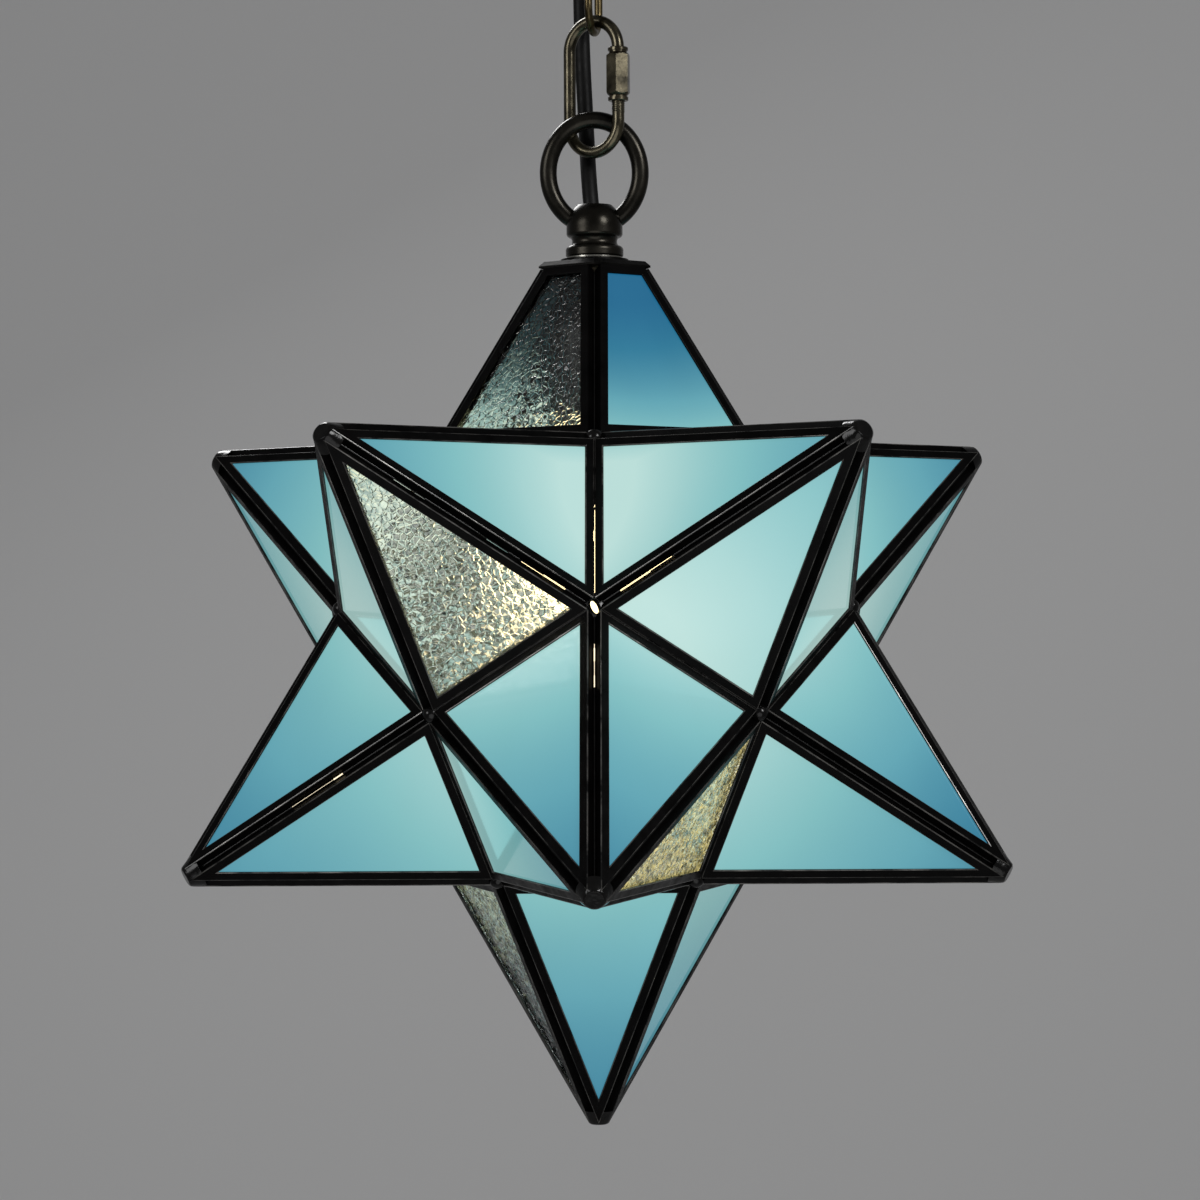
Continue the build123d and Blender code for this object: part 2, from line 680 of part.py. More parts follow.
def dish_outline(inset, rim):
    """Half section of the dish moved in by inset: flat floor, round shoulder, slightly flared side."""
    low = inset - CANOPY_DEPTH
    shoulder = low + CANOPY_ROUND
    bend_x = CANOPY_FLOOR_R - inset
    lean = math.atan((CANOPY_R - CANOPY_FLOOR_R) / (CANOPY_DEPTH - CANOPY_ROUND))
    flat_x = bend_x - CANOPY_ROUND
    with BuildSketch(Plane.XZ) as outline:
        with BuildLine():
            Line((0, low), (flat_x, low))
            TangentArc((flat_x, low), (bend_x, shoulder), tangent=(1, 0))
            Line((bend_x, shoulder), (bend_x + (rim - shoulder) * math.tan(lean), rim))
            Line((bend_x + (rim - shoulder) * math.tan(lean), rim), (0, rim))
            Line((0, rim), (0, low))
        make_face()
    return outline.sketch


def canopy_dish():
    """Spun dish, open towards the ceiling, bored for the loop's stem and the grommet."""
    floor = -CANOPY_DEPTH
    dish = revolve(dish_outline(0, 0), Axis.Z) - revolve(dish_outline(CANOPY_WALL, OVERRUN), Axis.Z)
    dish = dish - bore(LOOP_STEM_R + HUB_FIT, floor, floor + CANOPY_WALL)
    return dish - Pos(GROMMET_X, GROMMET_Y, 0) * bore(GROMMET_R, floor, floor + CANOPY_WALL)


def mounting_plate():
    """Round plate screwed to the ceiling; the loop's stem screws into its middle."""
    plate = rod(PLATE_R, -PLATE_T, 0) - bore(LOOP_STEM_R + HUB_FIT, -PLATE_T, 0)
    for side in (-1, 1):
        plate = plate - Pos(side * CEILING_HOLE_SPACING / 2, 0, 0) * bore(CEILING_HOLE_R, -PLATE_T, 0)
    return plate


def canopy_loop():
    """Ring with a neck and a threaded stem that runs up through the collar and the dish."""
    section = Plane.XY * (Pos(LOOP_R, 0) * Circle(LOOP_WIRE_R))
    loop = Pos(0, 0, STAR_Z + LOOP_H) * Rot(0, 0, LOOP_YAW) * revolve(section, Axis.Y, 360)
    neck_low = STAR_Z + LOOP_H + LOOP_R
    neck = rod(LOOP_NECK_R, neck_low, neck_low + LOOP_NECK_T)
    stem = rod(LOOP_STEM_R, neck_low, -PLATE_T / 4)
    return loop + neck + stem


def loop_collar():
    """Round nut that presses the dish against the ceiling."""
    low = STAR_Z + CANOPY_H - COLLAR_T
    high = low + COLLAR_T
    nut = turned(
        [
            (0, low),
            (COLLAR_R - COLLAR_BEVEL, low),
            (COLLAR_R, low + COLLAR_BEVEL),
            (COLLAR_R, high),
            (0, high),
        ]
    )
    return nut - bore(LOOP_STEM_R + HUB_FIT, low, high)


def cable_grommet():
    """Bushing in the dish's floor, with a lip on both sides."""
    floor = -CANOPY_DEPTH
    outer = GROMMET_R + GROMMET_LIP
    low = floor - GROMMET_LIP_T
    high = floor + CANOPY_WALL + GROMMET_LIP_T
    waist = GROMMET_R - HUB_FIT
    bushing = turned(
        [
            (CABLE_R + CABLE_FIT, low),
            (outer - GROMMET_BEVEL, low),
            (outer, low + GROMMET_BEVEL),
            (outer, floor - HUB_FIT),
            (waist, floor - HUB_FIT),
            (waist, floor + CANOPY_WALL + HUB_FIT),
            (outer, floor + CANOPY_WALL + HUB_FIT),
            (outer, high),
            (CABLE_R + CABLE_FIT, high),
        ]
    )
    return Pos(GROMMET_X, GROMMET_Y, 0) * bushing


def terminal_block():
    """Terminal strip under the mounting plate, with its screws sunk into one side."""
    block = Box(TERMINAL_LENGTH, TERMINAL_WIDTH, TERMINAL_HEIGHT)
    pocket = Rot(90, 0, 0) * Cylinder(TERMINAL_SCREW_R, 2 * TERMINAL_SCREW_DEPTH)
    pitch = TERMINAL_LENGTH / TERMINAL_POLES
    for number in range(TERMINAL_POLES):
        along = (number - (TERMINAL_POLES - 1) / 2) * pitch
        block = block - Pos(along, TERMINAL_WIDTH / 2, 0) * pocket
    return Pos(GROMMET_X, GROMMET_Y, -PLATE_T - TERMINAL_HEIGHT / 2) * block


# The cable leaves the hub, passes behind the ring, the quick link and the chain, and enters the grommet
CABLE_ROUTE = [
    (0, 0, STAR_Z + HUB_TOP_H - CABLE_SEAT),
    (-CABLE_LEFT_IN_HUB, 0, STAR_Z + HUB_TOP_H + CABLE_RISE),
    (-CABLE_LEFT_OF_RING, CABLE_BEHIND_RING, STAR_Z + RING_H + RING_TALL),
    (-CABLE_LEFT_OF_LINK, CABLE_BEHIND_LINK, STAR_Z + LOWER_LINK_H),
    (-CABLE_LEFT_OF_CHAIN, CABLE_BEHIND_CHAIN, STAR_Z + UPPER_LINK_H + CHAIN_BEND),
    (GROMMET_X, GROMMET_Y, -CANOPY_DEPTH - CABLE_DROP),
    (GROMMET_X, GROMMET_Y, -PLATE_T - TERMINAL_HEIGHT),
]


def cable_radii():
    """Bend radius at each inner corner of the route, as large as the runs beside it allow."""
    points = [Vector(*p) for p in CABLE_ROUTE]
    radii = []
    for before, here, after in zip(points, points[1:], points[2:]):
        run_in, run_out = here - before, after - here
        turn = math.radians(run_in.get_angle(run_out))
        radii.append(CABLE_FILLET_SHARE * min(run_in.length, run_out.length) / math.tan(turn / 2))
    return radii


def power_cable():
    radii = cable_radii()
    path = FilletPolyline(*CABLE_ROUTE, radius=radii)
    tube = sweep(Plane(origin=path @ 0, z_dir=path % 0) * Circle(CABLE_R), path)
    length = path.length
    print("cable bend radii", [round(r, 1) for r in radii], "length", round(length, 1))
    print("cable volume", round(tube.volume, 1), "section x length", round(math.pi * CABLE_R**2 * length, 1))
    return tube


def cable_in_stem():
    """The cable's last stretch, inside the stem, up to just under the leaning stretch above it."""
    lean = CABLE_LEFT_IN_HUB / (CABLE_SEAT + CABLE_RISE)
    top = HUB_TOP_H - CABLE_SEAT - CABLE_R * lean - HUB_FIT
    return rod(CABLE_R, STEM_BOTTOM_H - HOLDER_CAP_WALL / 2, top)


def at_star(shape):
    """Moves a piece drawn about the star's centre into the ceiling's frame."""
    return Pos(0, 0, STAR_Z) * shape


def separate(shapes):
    """Puts solids side by side in one node without joining them."""
    solids = [s for shape in shapes for s in shape.solids()]
    return Compound(children=solids)


def star_points(pieces):
    """Frames, panes and tip blobs of the twelve points."""
    whole_frame, whole_pane = came_frame(), glass_pane()
    cut_frame, cut_pane = came_frame(cut_line()), glass_pane(cut_line())
    blob = tip_solder()
    clear, blobs = [], []
    for name, direction in TIPS.items():
        frame, pane = (cut_frame, cut_pane) if name == "top" else (whole_frame, whole_pane)
        frames, opal = [], []
        for side in neighbours(name):
            place = panel_plane(name, side).location
            frames.append(at_star(place * frame))
            placed = at_star(place * pane)
            if side != CLEAR_SIDE[name]:
                opal.append(placed)
            elif name == DOOR:
                pieces[f"{name}_clear_pane"] = separate([placed])
            else:
                clear.append(placed)
        pieces[f"{name}_frames"] = separate(frames)
        pieces[f"{name}_opal_panes"] = separate(opal)
        placed = at_star(facing(direction, TIPS[neighbours(name)[0]]) * blob)
        if name == DOOR:
            pieces[f"{name}_tip_solder"] = separate([placed])
        elif name != "top":
            blobs.append(placed)
    pieces["clear_panes"] = separate(clear)
    pieces["tip_solder"] = separate(blobs)


def valley_joints():
    """Solder blobs at the valley corners, apart from those beside the door and one open front corner."""
    blob = valley_solder()
    placed = []
    for names, axis in valley_points():
        if DOOR not in names and set(names) != OPEN_CORNER:
            placed.append(at_star(facing(axis, TIPS[names[0]]) * blob))
    return separate(placed)


def build():
    pieces = {}
    star_points(pieces)
    pieces["valley_solder"] = valley_joints()
    fixed_side = panel_plane("top", DOOR).location
    door_side = panel_plane(DOOR, "top").location
    pieces["hinge_fixed_leaf"] = separate(
        [at_star(fixed_side * hinge_leaf(number)) for number in (-1, 1)]
    )
    pieces["hinge_door_leaf"] = at_star(door_side * hinge_leaf(0))
    pieces["hinge_pin"] = at_star(fixed_side * hinge_pin())
    pieces["top_cap"] = at_star(top_cap())
    pieces["seat_disc"] = at_star(stem_washer(SEAT_DISC_R, CAP_H, DISC_H))
    pieces["bright_washer"] = at_star(stem_washer(WASHER_R, DISC_H, HUB_H))
    pieces["loop_hub"] = at_star(loop_hub())
    pieces["hanging_ring"] = at_star(hanging_ring())
    pieces["stem_tube"] = at_star(stem_tube())
    pieces["lock_nut"] = at_star(lock_nut())
    pieces["holder_cap"] = at_star(holder_cap())
    pieces["holder_body"] = at_star(holder_body())
    pieces["screw_shell"] = at_star(screw_shell())
    pieces["centre_contact"] = at_star(centre_contact())
    pieces["bulb_base"] = at_star(bulb_base())
    pieces["bulb_glass"] = at_star(bulb_glass())
    pieces["bulb_filament"] = at_star(bulb_filament())
    pieces["quick_link_body"] = at_star(quick_link_body())
    pieces["quick_link_sleeve"] = at_star(quick_link_sleeve())
    pieces["lower_chain_link"] = at_star(chain_link(LOWER_LINK_H, LOWER_LINK_YAW))
    pieces["upper_chain_link"] = at_star(chain_link(UPPER_LINK_H, UPPER_LINK_YAW))
    pieces["canopy_loop"] = canopy_loop()
    pieces["loop_collar"] = loop_collar()
    pieces["canopy_dish"] = canopy_dish()
    pieces["mounting_plate"] = mounting_plate()
    pieces["cable_grommet"] = cable_grommet()
    pieces["terminal_block"] = terminal_block()
    pieces["power_cable"] = power_cable()
    pieces["cable_in_stem"] = at_star(cable_in_stem())
    return pieces


os.makedirs("parts", exist_ok=True)
for node, shape in build().items():
    export_step(shape, f"parts/{node}.step")
    print(node, len(shape.solids()), round(shape.volume, 1))
print("star centre", round(STAR_Z, 3), "ring", round(STAR_Z + RING_H, 3))
print("cable route", [tuple(round(c, 3) for c in p) for p in CABLE_ROUTE])
print("link low", round(STAR_Z + LINK_LOW_H, 3), "lower link", round(STAR_Z + LOWER_LINK_H, 3))
print("upper link", round(STAR_Z + UPPER_LINK_H, 3), "loop", round(STAR_Z + LOOP_H, 3))
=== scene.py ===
import math
import random

import bmesh
import bpy
from mathutils import Matrix, Vector
from mathutils.geometry import delaunay_2d_cdt
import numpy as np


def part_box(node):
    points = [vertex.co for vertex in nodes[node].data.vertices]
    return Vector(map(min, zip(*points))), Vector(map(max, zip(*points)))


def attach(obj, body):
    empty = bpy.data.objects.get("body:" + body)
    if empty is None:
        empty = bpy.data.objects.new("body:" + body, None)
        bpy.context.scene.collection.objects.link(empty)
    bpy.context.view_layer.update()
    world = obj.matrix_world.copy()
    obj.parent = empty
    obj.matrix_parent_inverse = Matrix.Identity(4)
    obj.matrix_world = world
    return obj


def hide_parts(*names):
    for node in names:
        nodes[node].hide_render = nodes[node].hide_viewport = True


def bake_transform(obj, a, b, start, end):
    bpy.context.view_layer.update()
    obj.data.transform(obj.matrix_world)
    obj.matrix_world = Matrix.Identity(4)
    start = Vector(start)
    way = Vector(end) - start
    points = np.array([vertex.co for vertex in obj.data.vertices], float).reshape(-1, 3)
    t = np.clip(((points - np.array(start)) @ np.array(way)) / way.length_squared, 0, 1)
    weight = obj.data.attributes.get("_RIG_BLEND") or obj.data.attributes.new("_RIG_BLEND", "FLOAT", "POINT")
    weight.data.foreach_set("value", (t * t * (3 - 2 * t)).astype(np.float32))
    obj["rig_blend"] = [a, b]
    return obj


# A lit stained glass star lamp on its chain. Lengths are in metres, in the part's own frame:
# the ceiling is z = 0 and the photographed side faces -Y.

MM = 0.001
PHI = (1 + math.sqrt(5)) / 2

# The star, as in the solid model: its middle, the reach of its points, and the core that they stand on
STAR_Z = -381.062 * MM
STAR_CENTRE = Vector((0, 0, STAR_Z))
TIP_RADIUS = 186.75 * MM
FACE_DISTANCE = TIP_RADIUS / math.sqrt(5)
CORE_EDGE = 2 * FACE_DISTANCE * math.sqrt(3 - PHI) / PHI**2
CORNER_RADIUS = CORE_EDGE * math.sqrt(3) * PHI / 2
PANEL_HEIGHT = CORE_EDGE * math.sqrt(PHI**2 - 0.25)

# How far above the middle the top point is cut off
CUT_H = 153.613 * MM

# Frames and panes: how thick they are, the gap in a seam, and how far a frame and then its pane are set in
FRAME_T = 4.3 * MM
SEAM_GAP = 0.24 * MM
FRAME_SETBACK = FRAME_T / 2 / PHI + SEAM_GAP / 2
PANE_INSET = 0.95 * MM
GLASS_T = 2.4 * MM

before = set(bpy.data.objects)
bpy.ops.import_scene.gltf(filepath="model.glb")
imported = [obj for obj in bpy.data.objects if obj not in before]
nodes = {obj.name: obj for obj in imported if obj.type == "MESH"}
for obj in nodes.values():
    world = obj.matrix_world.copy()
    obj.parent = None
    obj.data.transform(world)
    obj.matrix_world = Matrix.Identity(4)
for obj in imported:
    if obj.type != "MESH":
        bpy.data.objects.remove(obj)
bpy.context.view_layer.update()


# Camera: its place from the star's middle in metres, its turns in radians, its lens in millimetres

CAMERA_DISTANCE = 1.303
CAMERA_HEIGHT = 10.9 * MM
CAMERA_AZIMUTH = 0.0073
CAMERA_YAW = -0.0011
CAMERA_PITCH = 0.0093
CAMERA_ROLL = -0.0050
CAMERA_LENS = 98.88
CAMERA_SENSOR = 36.0
CAMERA_NEAR = 0.05
CAMERA_FAR = 50.0


def make_camera():
    """Camera at the photograph's angle, nearly level with the middle of the star."""
    data = bpy.data.cameras.new("camera")
    data.sensor_width = CAMERA_SENSOR
    data.lens = CAMERA_LENS
    data.clip_start = CAMERA_NEAR
    data.clip_end = CAMERA_FAR
    camera = bpy.data.objects.new("camera", data)
    bpy.context.collection.objects.link(camera)
    place = STAR_CENTRE + Vector(
        (
            math.sin(CAMERA_AZIMUTH) * CAMERA_DISTANCE,
            -math.cos(CAMERA_AZIMUTH) * CAMERA_DISTANCE,
            CAMERA_HEIGHT,
        )
    )
    turn = Matrix.Rotation(CAMERA_AZIMUTH + CAMERA_YAW, 4, "Z")
    turn = turn @ Matrix.Rotation(math.pi / 2 + CAMERA_PITCH, 4, "X")
    turn = turn @ Matrix.Rotation(CAMERA_ROLL, 4, "Z")
    camera.matrix_world = Matrix.Translation(place) @ turn
    bpy.context.scene.camera = camera


# Mesh helpers

SHARP_ANGLE = math.radians(50)


def add_tube(made, points, radius, sides):
    """Adds a closed round tube along a line of points, without twist."""
    rings = []
    across = None
    for number, here in enumerate(points):
        before, after = points[max(number - 1, 0)], points[min(number + 1, len(points) - 1)]
        along = (after - before).normalized()
        if across is None:
            across = along.orthogonal().normalized()
        across = (across - along * across.dot(along)).normalized()
        other = along.cross(across)
        ring = []
        for side in range(sides):
            turn = 2 * math.pi * side / sides
            ring.append(made.verts.new(here + (across * math.cos(turn) + other * math.sin(turn)) * radius))
        rings.append(ring)
    for low, high in zip(rings, rings[1:]):
        for side in range(sides):
            after = (side + 1) % sides
            made.faces.new((low[side], low[after], high[after], high[side]))
    made.faces.new(rings[0][::-1])
    made.faces.new(rings[-1])


def mesh_object(name, made, smooth=True):
    """Turns a bmesh into an object in the scene."""
    bmesh.ops.recalc_face_normals(made, faces=made.faces)
    mesh = bpy.data.meshes.new(name)
    made.to_mesh(mesh)
    made.free()
    for polygon in mesh.polygons:
        polygon.use_smooth = smooth
    mesh.set_sharp_from_angle(angle=SHARP_ANGLE)
    piece = bpy.data.objects.new(name, mesh)
    bpy.context.collection.objects.link(piece)
    return piece


# Power cable: one smooth line, cut into four stretches that each bend with one swing of the chain

CABLE_R = 3.15 * MM
CABLE_SIDES = 24
CABLE_STEPS = 24
CABLE_ORDER = 3
HUB_TOP_Z = -201.849 * MM

# Control points of the cable's line, from the hub up to the canopy, in millimetres
CABLE_ROUTE = [
    (0, 0, -214.849),
    (-1.9, 0, -197.349),
    (-3.3, 18.4, -168.049),
    (-5.0, 18.4, -133.2),
    (-5.4, 20.6, -84.5),
    (-6.0, 27.0, -36.0),
    (-6.0, 27.0, -12.0),
]

# Stretches from the lowest up, with the bodies at their lower and upper ends, and the heights of the cuts
# between them in millimetres
CABLE_STRETCHES = [
    ("cable_beside_ring", "star", "quick_link"),
    ("cable_beside_link", "quick_link", "lower_chain_link"),
    ("cable_beside_chain", "lower_chain_link", "upper_chain_link"),
    ("cable_into_canopy", "upper_chain_link", "canopy"),
]
CABLE_CUTS = [-155.5, -113.5, -71.5]
STIFF_END = 1 * MM


def cable_line():
    """Points along the smooth curve that has the route as its control points."""
    curve = bpy.data.curves.new("cable_line", "CURVE")
    curve.dimensions = "3D"
    spline = curve.splines.new("NURBS")
    spline.points.add(len(CABLE_ROUTE) - 1)
    for point, place in zip(spline.points, CABLE_ROUTE):
        point.co = (*[c * MM for c in place], 1.0)
    spline.order_u = CABLE_ORDER
    spline.use_endpoint_u = True
    spline.resolution_u = CABLE_STEPS
    holder = bpy.data.objects.new("cable_line", curve)
    bpy.context.collection.objects.link(holder)
    mesh = bpy.data.meshes.new_from_object(holder)
    points = [v.co.copy() for v in mesh.vertices]
    bpy.data.objects.remove(holder)
    bpy.data.curves.remove(curve)
    bpy.data.meshes.remove(mesh)
    return points


def at_height(points, z):
    """The point where an upward line passes a height."""
    for low, high in zip(points, points[1:]):
        if low.z <= z <= high.z:
            return low.lerp(high, (z - low.z) / (high.z - low.z))
    return points[0] if z < points[0].z else points[-1]


def make_cable(material):
    """Makes the stretches of the cable, each between the two bodies that bend it."""
    line = cable_line()
    heights = [z * MM for z in (CABLE_ROUTE[0][2], *CABLE_CUTS, CABLE_ROUTE[-1][2])]
    for (name, below, above), low, high in zip(CABLE_STRETCHES, heights, heights[1:]):
        first, last = at_height(line, low), at_height(line, high)
        path = [first] + [p for p in line if first.z < p.z < last.z] + [last]
        made = bmesh.new()
        add_tube(made, path, CABLE_R, CABLE_SIDES)
        piece = mesh_object(name, made)
        piece.data.materials.append(material)
        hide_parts("power_cable")
        start = Vector((0, 0, max(low, HUB_TOP_Z) + STIFF_END))
        end = Vector((0, 0, high - STIFF_END))
        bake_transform(piece, below, above, start=start, end=end)


# Directions of the star's twelve points


def tip_direction(azimuth, height):
    """Direction of a point's tip; azimuth counts from the front (-Y) towards +X."""
    level = math.sqrt(1 - height**2)
    turn = math.radians(azimuth)
    return Vector((level * math.sin(turn), -level * math.cos(turn), height))


RING_LEVEL = 1 / math.sqrt(5)
TIPS = {
    "top": tip_direction(0, 1),
    "upper_front_left": tip_direction(-36, RING_LEVEL),
    "upper_front_right": tip_direction(36, RING_LEVEL),
    "upper_left": tip_direction(-108, RING_LEVEL),
    "upper_right": tip_direction(108, RING_LEVEL),
    "upper_back": tip_direction(180, RING_LEVEL),
    "lower_front": tip_direction(0, -RING_LEVEL),
    "lower_left": tip_direction(-72, -RING_LEVEL),
    "lower_right": tip_direction(72, -RING_LEVEL),
    "lower_back_left": tip_direction(-144, -RING_LEVEL),
    "lower_back_right": tip_direction(144, -RING_LEVEL),
    "bottom": tip_direction(0, -1),
}
DOOR = "upper_back"


def beside(*names):
    """The points that lie beside all of these."""
    near = []
    for other, direction in TIPS.items():
        if other not in names and all(direction.dot(TIPS[name]) > 0 for name in names):
            near.append(other)
    return near


def between(a, b):
    """Direction halfway between two points."""
    return (TIPS[a] + TIPS[b]).normalized()


def tip_place(name):
    """Where the ridges of a point would meet if it weren't blunt."""
    return STAR_CENTRE + TIPS[name] * TIP_RADIUS


def corner(*names):
    """The valley corner between three points."""
    return STAR_CENTRE + sum((TIPS[name] for name in names), Vector()).normalized() * CORNER_RADIUS


# Solder in the seams: it lies low in the ridge grooves and just behind the valley edges

SEAM_DEPTH = 1.87 * MM
SEAM_BEAD_R = 0.5 * MM
SEAM_SIDES = 8

# Where a bead starts and ends, as shares of its seam's length
SEAM_START = 0.03
RIDGE_END = 0.93
VALLEY_END = 0.97
CUT_MARGIN = 0.02
CUT_RIDGE_END = (CUT_H - FACE_DISTANCE) / (TIP_RADIUS - FACE_DISTANCE) - CUT_MARGIN

# Wires of solder that are left on one side of a slit: how deep they lie, and their radius in an open and in
# a narrow slit
SLIT_DEPTH = 2.59 * MM
OPEN_WIRE_R = 0.095 * MM
NARROW_WIRE_R = 0.24 * MM

# Slits where the lamp shows: start and end as shares of a seam's length from its front corner, and the wire
RIDGE_SLITS = {
    ("upper_front_left", "upper_front_right", "lower_front"): [
        (0.10, 0.18, OPEN_WIRE_R),
        (0.18, 0.27, NARROW_WIRE_R),
        (0.31, 0.42, NARROW_WIRE_R),
        (0.61, 0.72, NARROW_WIRE_R),
    ],
    ("upper_front_right", "upper_front_left", "lower_front"): [
        (0.09, 0.20, OPEN_WIRE_R),
        (0.20, 0.29, NARROW_WIRE_R),
    ],
}
VALLEY_SLITS = {
    ("upper_front_left", "upper_front_right"): [
        (0.06, 0.355, NARROW_WIRE_R),
        (0.355, 0.42, OPEN_WIRE_R),
        (0.42, 0.55, NARROW_WIRE_R),
        (0.56, 0.58, NARROW_WIRE_R),
    ],
}

# Painted strands of lamplight that leak through the solder of two ridges: start and end as shares, and radius
LEAK_DEPTH = SEAM_DEPTH - SEAM_BEAD_R
LEAKS = {
    ("lower_front", "upper_front_left", "upper_front_right"): [
        (0.125, 0.140, 0.10 * MM),
        (0.140, 0.185, 0.23 * MM),
        (0.185, 0.235, 0.10 * MM),
        (0.235, 0.275, 0.18 * MM),
    ],
    ("lower_left", "upper_front_left", "lower_front"): [
        (0.350, 0.385, 0.25 * MM),
        (0.385, 0.550, 0.06 * MM),
    ],
}

# The front corner isn't quite closed: its solder leaves a slanting hole, and is thickest at its crest,
# a share of the way out from the hole to its rim
HOLE_HALF_WIDTH = 1.1 * MM
HOLE_HALF_HEIGHT = 2.6 * MM
HOLE_SLANT = math.radians(25)
HOLE_SOLDER_R = 5.0 * MM
HOLE_SOLDER_T = 1.6 * MM
HOLE_CREST = 0.3
HOLE_EDGE_T = HOLE_SOLDER_T / 2
HOLE_DEPTH = 2.0 * MM
HOLE_STEPS = 32


def add_strand(made, start, end, low, high, shift, radius):
    """Adds a straight round strand between two shares of a line's length, shifted off the line."""
    add_tube(made, [start.lerp(end, share) + shift for share in (low, high)], radius, SEAM_SIDES)


def add_seam(made, start, end, side, last, slits):
    """Adds a seam's bead, which thins to a wire at its slits. Side is the way to the seam's narrow edge."""
    stops = [SEAM_START, *(stop for slit in slits for stop in slit[:2]), last]
    for low, high in zip(stops[::2], stops[1::2]):
        if low < high:
            add_strand(made, start, end, low, high, side * SEAM_DEPTH, SEAM_BEAD_R)
    across = side.cross(end - start).normalized()
    for low, high, wire_r in slits:
        shift = side * SLIT_DEPTH + across * (wire_r - OPEN_WIRE_R)
        add_strand(made, start, end, low, high, shift, wire_r)


def add_ridges(made, name):
    """Adds the beads along the five ridges of one point."""
    last = CUT_RIDGE_END if name == "top" else RIDGE_END
    for number, a in enumerate(beside(name)):
        for b in beside(name)[number + 1:]:
            if a in beside(b):
                slits = RIDGE_SLITS.get((name, a, b), [])
                add_seam(made, corner(name, a, b), tip_place(name), -between(a, b), last, slits)


def add_valleys(made):
    """Adds the beads between neighbouring points, but none round the point that opens."""
    for a in TIPS:
        for b in beside(a):
            if a > b or DOOR in (a, b):
                continue
            start, end = sorted((corner(a, b, c) for c in beside(a, b)), key=lambda place: place.y)
            add_seam(made, start, end, between(a, b), VALLEY_END, VALLEY_SLITS.get((a, b), []))


def add_open_corner(made):
    """Adds the ring of solder round the hole in the front corner."""
    place = corner("upper_front_left", "upper_front_right", "lower_front")
    out = (place - STAR_CENTRE).normalized()
    across = Vector((0, 0, 1)).cross(out).normalized()
    up = out.cross(across)
    rings = []
    for step in range(HOLE_STEPS):
        turn = 2 * math.pi * step / HOLE_STEPS
        hole = Vector((math.cos(turn) * HOLE_HALF_WIDTH, math.sin(turn) * HOLE_HALF_HEIGHT))
        hole.rotate(Matrix.Rotation(HOLE_SLANT, 2))
        rim = hole.normalized() * HOLE_SOLDER_R
        crest = hole.lerp(rim, HOLE_CREST)
        profile = [(hole, HOLE_EDGE_T), (crest, HOLE_SOLDER_T), (rim, HOLE_EDGE_T), (rim, 0.0), (hole, 0.0)]
        ring = []
        for spot, height in profile:
            ring.append(made.verts.new(place + across * spot.x + up * spot.y + out * (height - HOLE_DEPTH)))
        rings.append(ring)
    for ring, after in zip(rings, rings[1:] + rings[:1]):
        for number in range(len(ring)):
            other = (number + 1) % len(ring)
            made.faces.new((ring[number], ring[other], after[other], after[number]))


def make_seams(material):
    """Makes the solder in the seams, in one piece for the star and one for the point that opens."""
    made = bmesh.new()
    for name in TIPS:
        if name != DOOR:
            add_ridges(made, name)
    add_valleys(made)
    add_open_corner(made)
    seams = mesh_object("seam_solder", made)
    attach(seams, "star")
    made = bmesh.new()
    add_ridges(made, DOOR)
    door_seams = mesh_object("door_seam_solder", made)
    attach(door_seams, "door")
    for piece in (seams, door_seams):
        piece.data.materials.append(material)


def make_leaks(material):
    """Makes the strands of light in the ridges, painted as glowing wires where lamplight leaks."""
    made = bmesh.new()
    for (name, a, b), leaks in LEAKS.items():
        start, end = corner(name, a, b), tip_place(name)
        shift = -between(a, b) * LEAK_DEPTH
        for low, high, radius in leaks:
            add_strand(made, start, end, low, high, shift, radius)
    light = mesh_object("seam_light", made)
    light.data.materials.append(material)
    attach(light, "star")


# Clear panes: flat inside, small irregular facets outside. Each point has one, on the side of this neighbour

CLEAR_SIDE = {
    "top": "upper_front_left",
    "upper_front_left": "lower_front",
    "upper_front_right": "upper_right",
    "upper_left": "upper_back",
    "upper_right": "lower_back_right",
    "upper_back": "lower_back_left",
    "lower_front": "lower_right",
    "lower_left": "lower_back_left",
    "lower_right": "bottom",
    "lower_back_left": "upper_left",
    "lower_back_right": "lower_back_left",
    "bottom": "lower_left",
}
# Panes painted with gold lamplight on their facets in place of the painted glints
GOLD_LIT_PANES = ["lower_front"]

# Facets: their size, how far their corners stray as a share of it, and how deep the corners lie
FACET_SIZE = 1.7 * MM
FACET_SCATTER = 0.42
FACET_RELIEF = 0.8 * MM
FACET_SEED = 7
ROW_HEIGHT = math.sqrt(0.75)
ROW_SHIFT = 0.5

# Values of the panes' faces for their material: a random number that stands for a facet's tilt, sets its
# painted glints and painted shade and is zero on plain faces; and the painted gold light, one on gold-lit
# panes' facets, else zero
FACET_TILT = "facet_tilt"
FACET_GOLD_LIGHT = "facet_gold_light"
LEAST_TILT = 0.2

# Triangulation: only what lies inside the outline, and how close corners may come before they merge
INSIDE_ONLY = 1
MERGE_DISTANCE = 1e-7


def pane_outline(cut):
    """Corners of a pane in its own plane, x across and y from the base edge to the tip."""
    half = CORE_EDGE / 2
    side = math.hypot(half, PANEL_HEIGHT)
    in_radius = half * PANEL_HEIGHT / (half + side)
    shrink = 1 - (FRAME_SETBACK + PANE_INSET) / in_radius
    corners = [(-half, 0), (half, 0), (0, PANEL_HEIGHT)]
    left, right, tip = [Vector((x * shrink, in_radius + (y - in_radius) * shrink)) for x, y in corners]
    if not cut:
        return [left, right, tip]
    slope = (TIP_RADIUS - FACE_DISTANCE) / PANEL_HEIGHT
    stop = (CUT_H - FACE_DISTANCE) / slope - FRAME_T / 2 * math.tan(math.acos(slope)) - PANE_INSET
    share = (tip.y - stop) / (tip.y - left.y)
    return [left, right, tip.lerp(right, share), tip.lerp(left, share)]


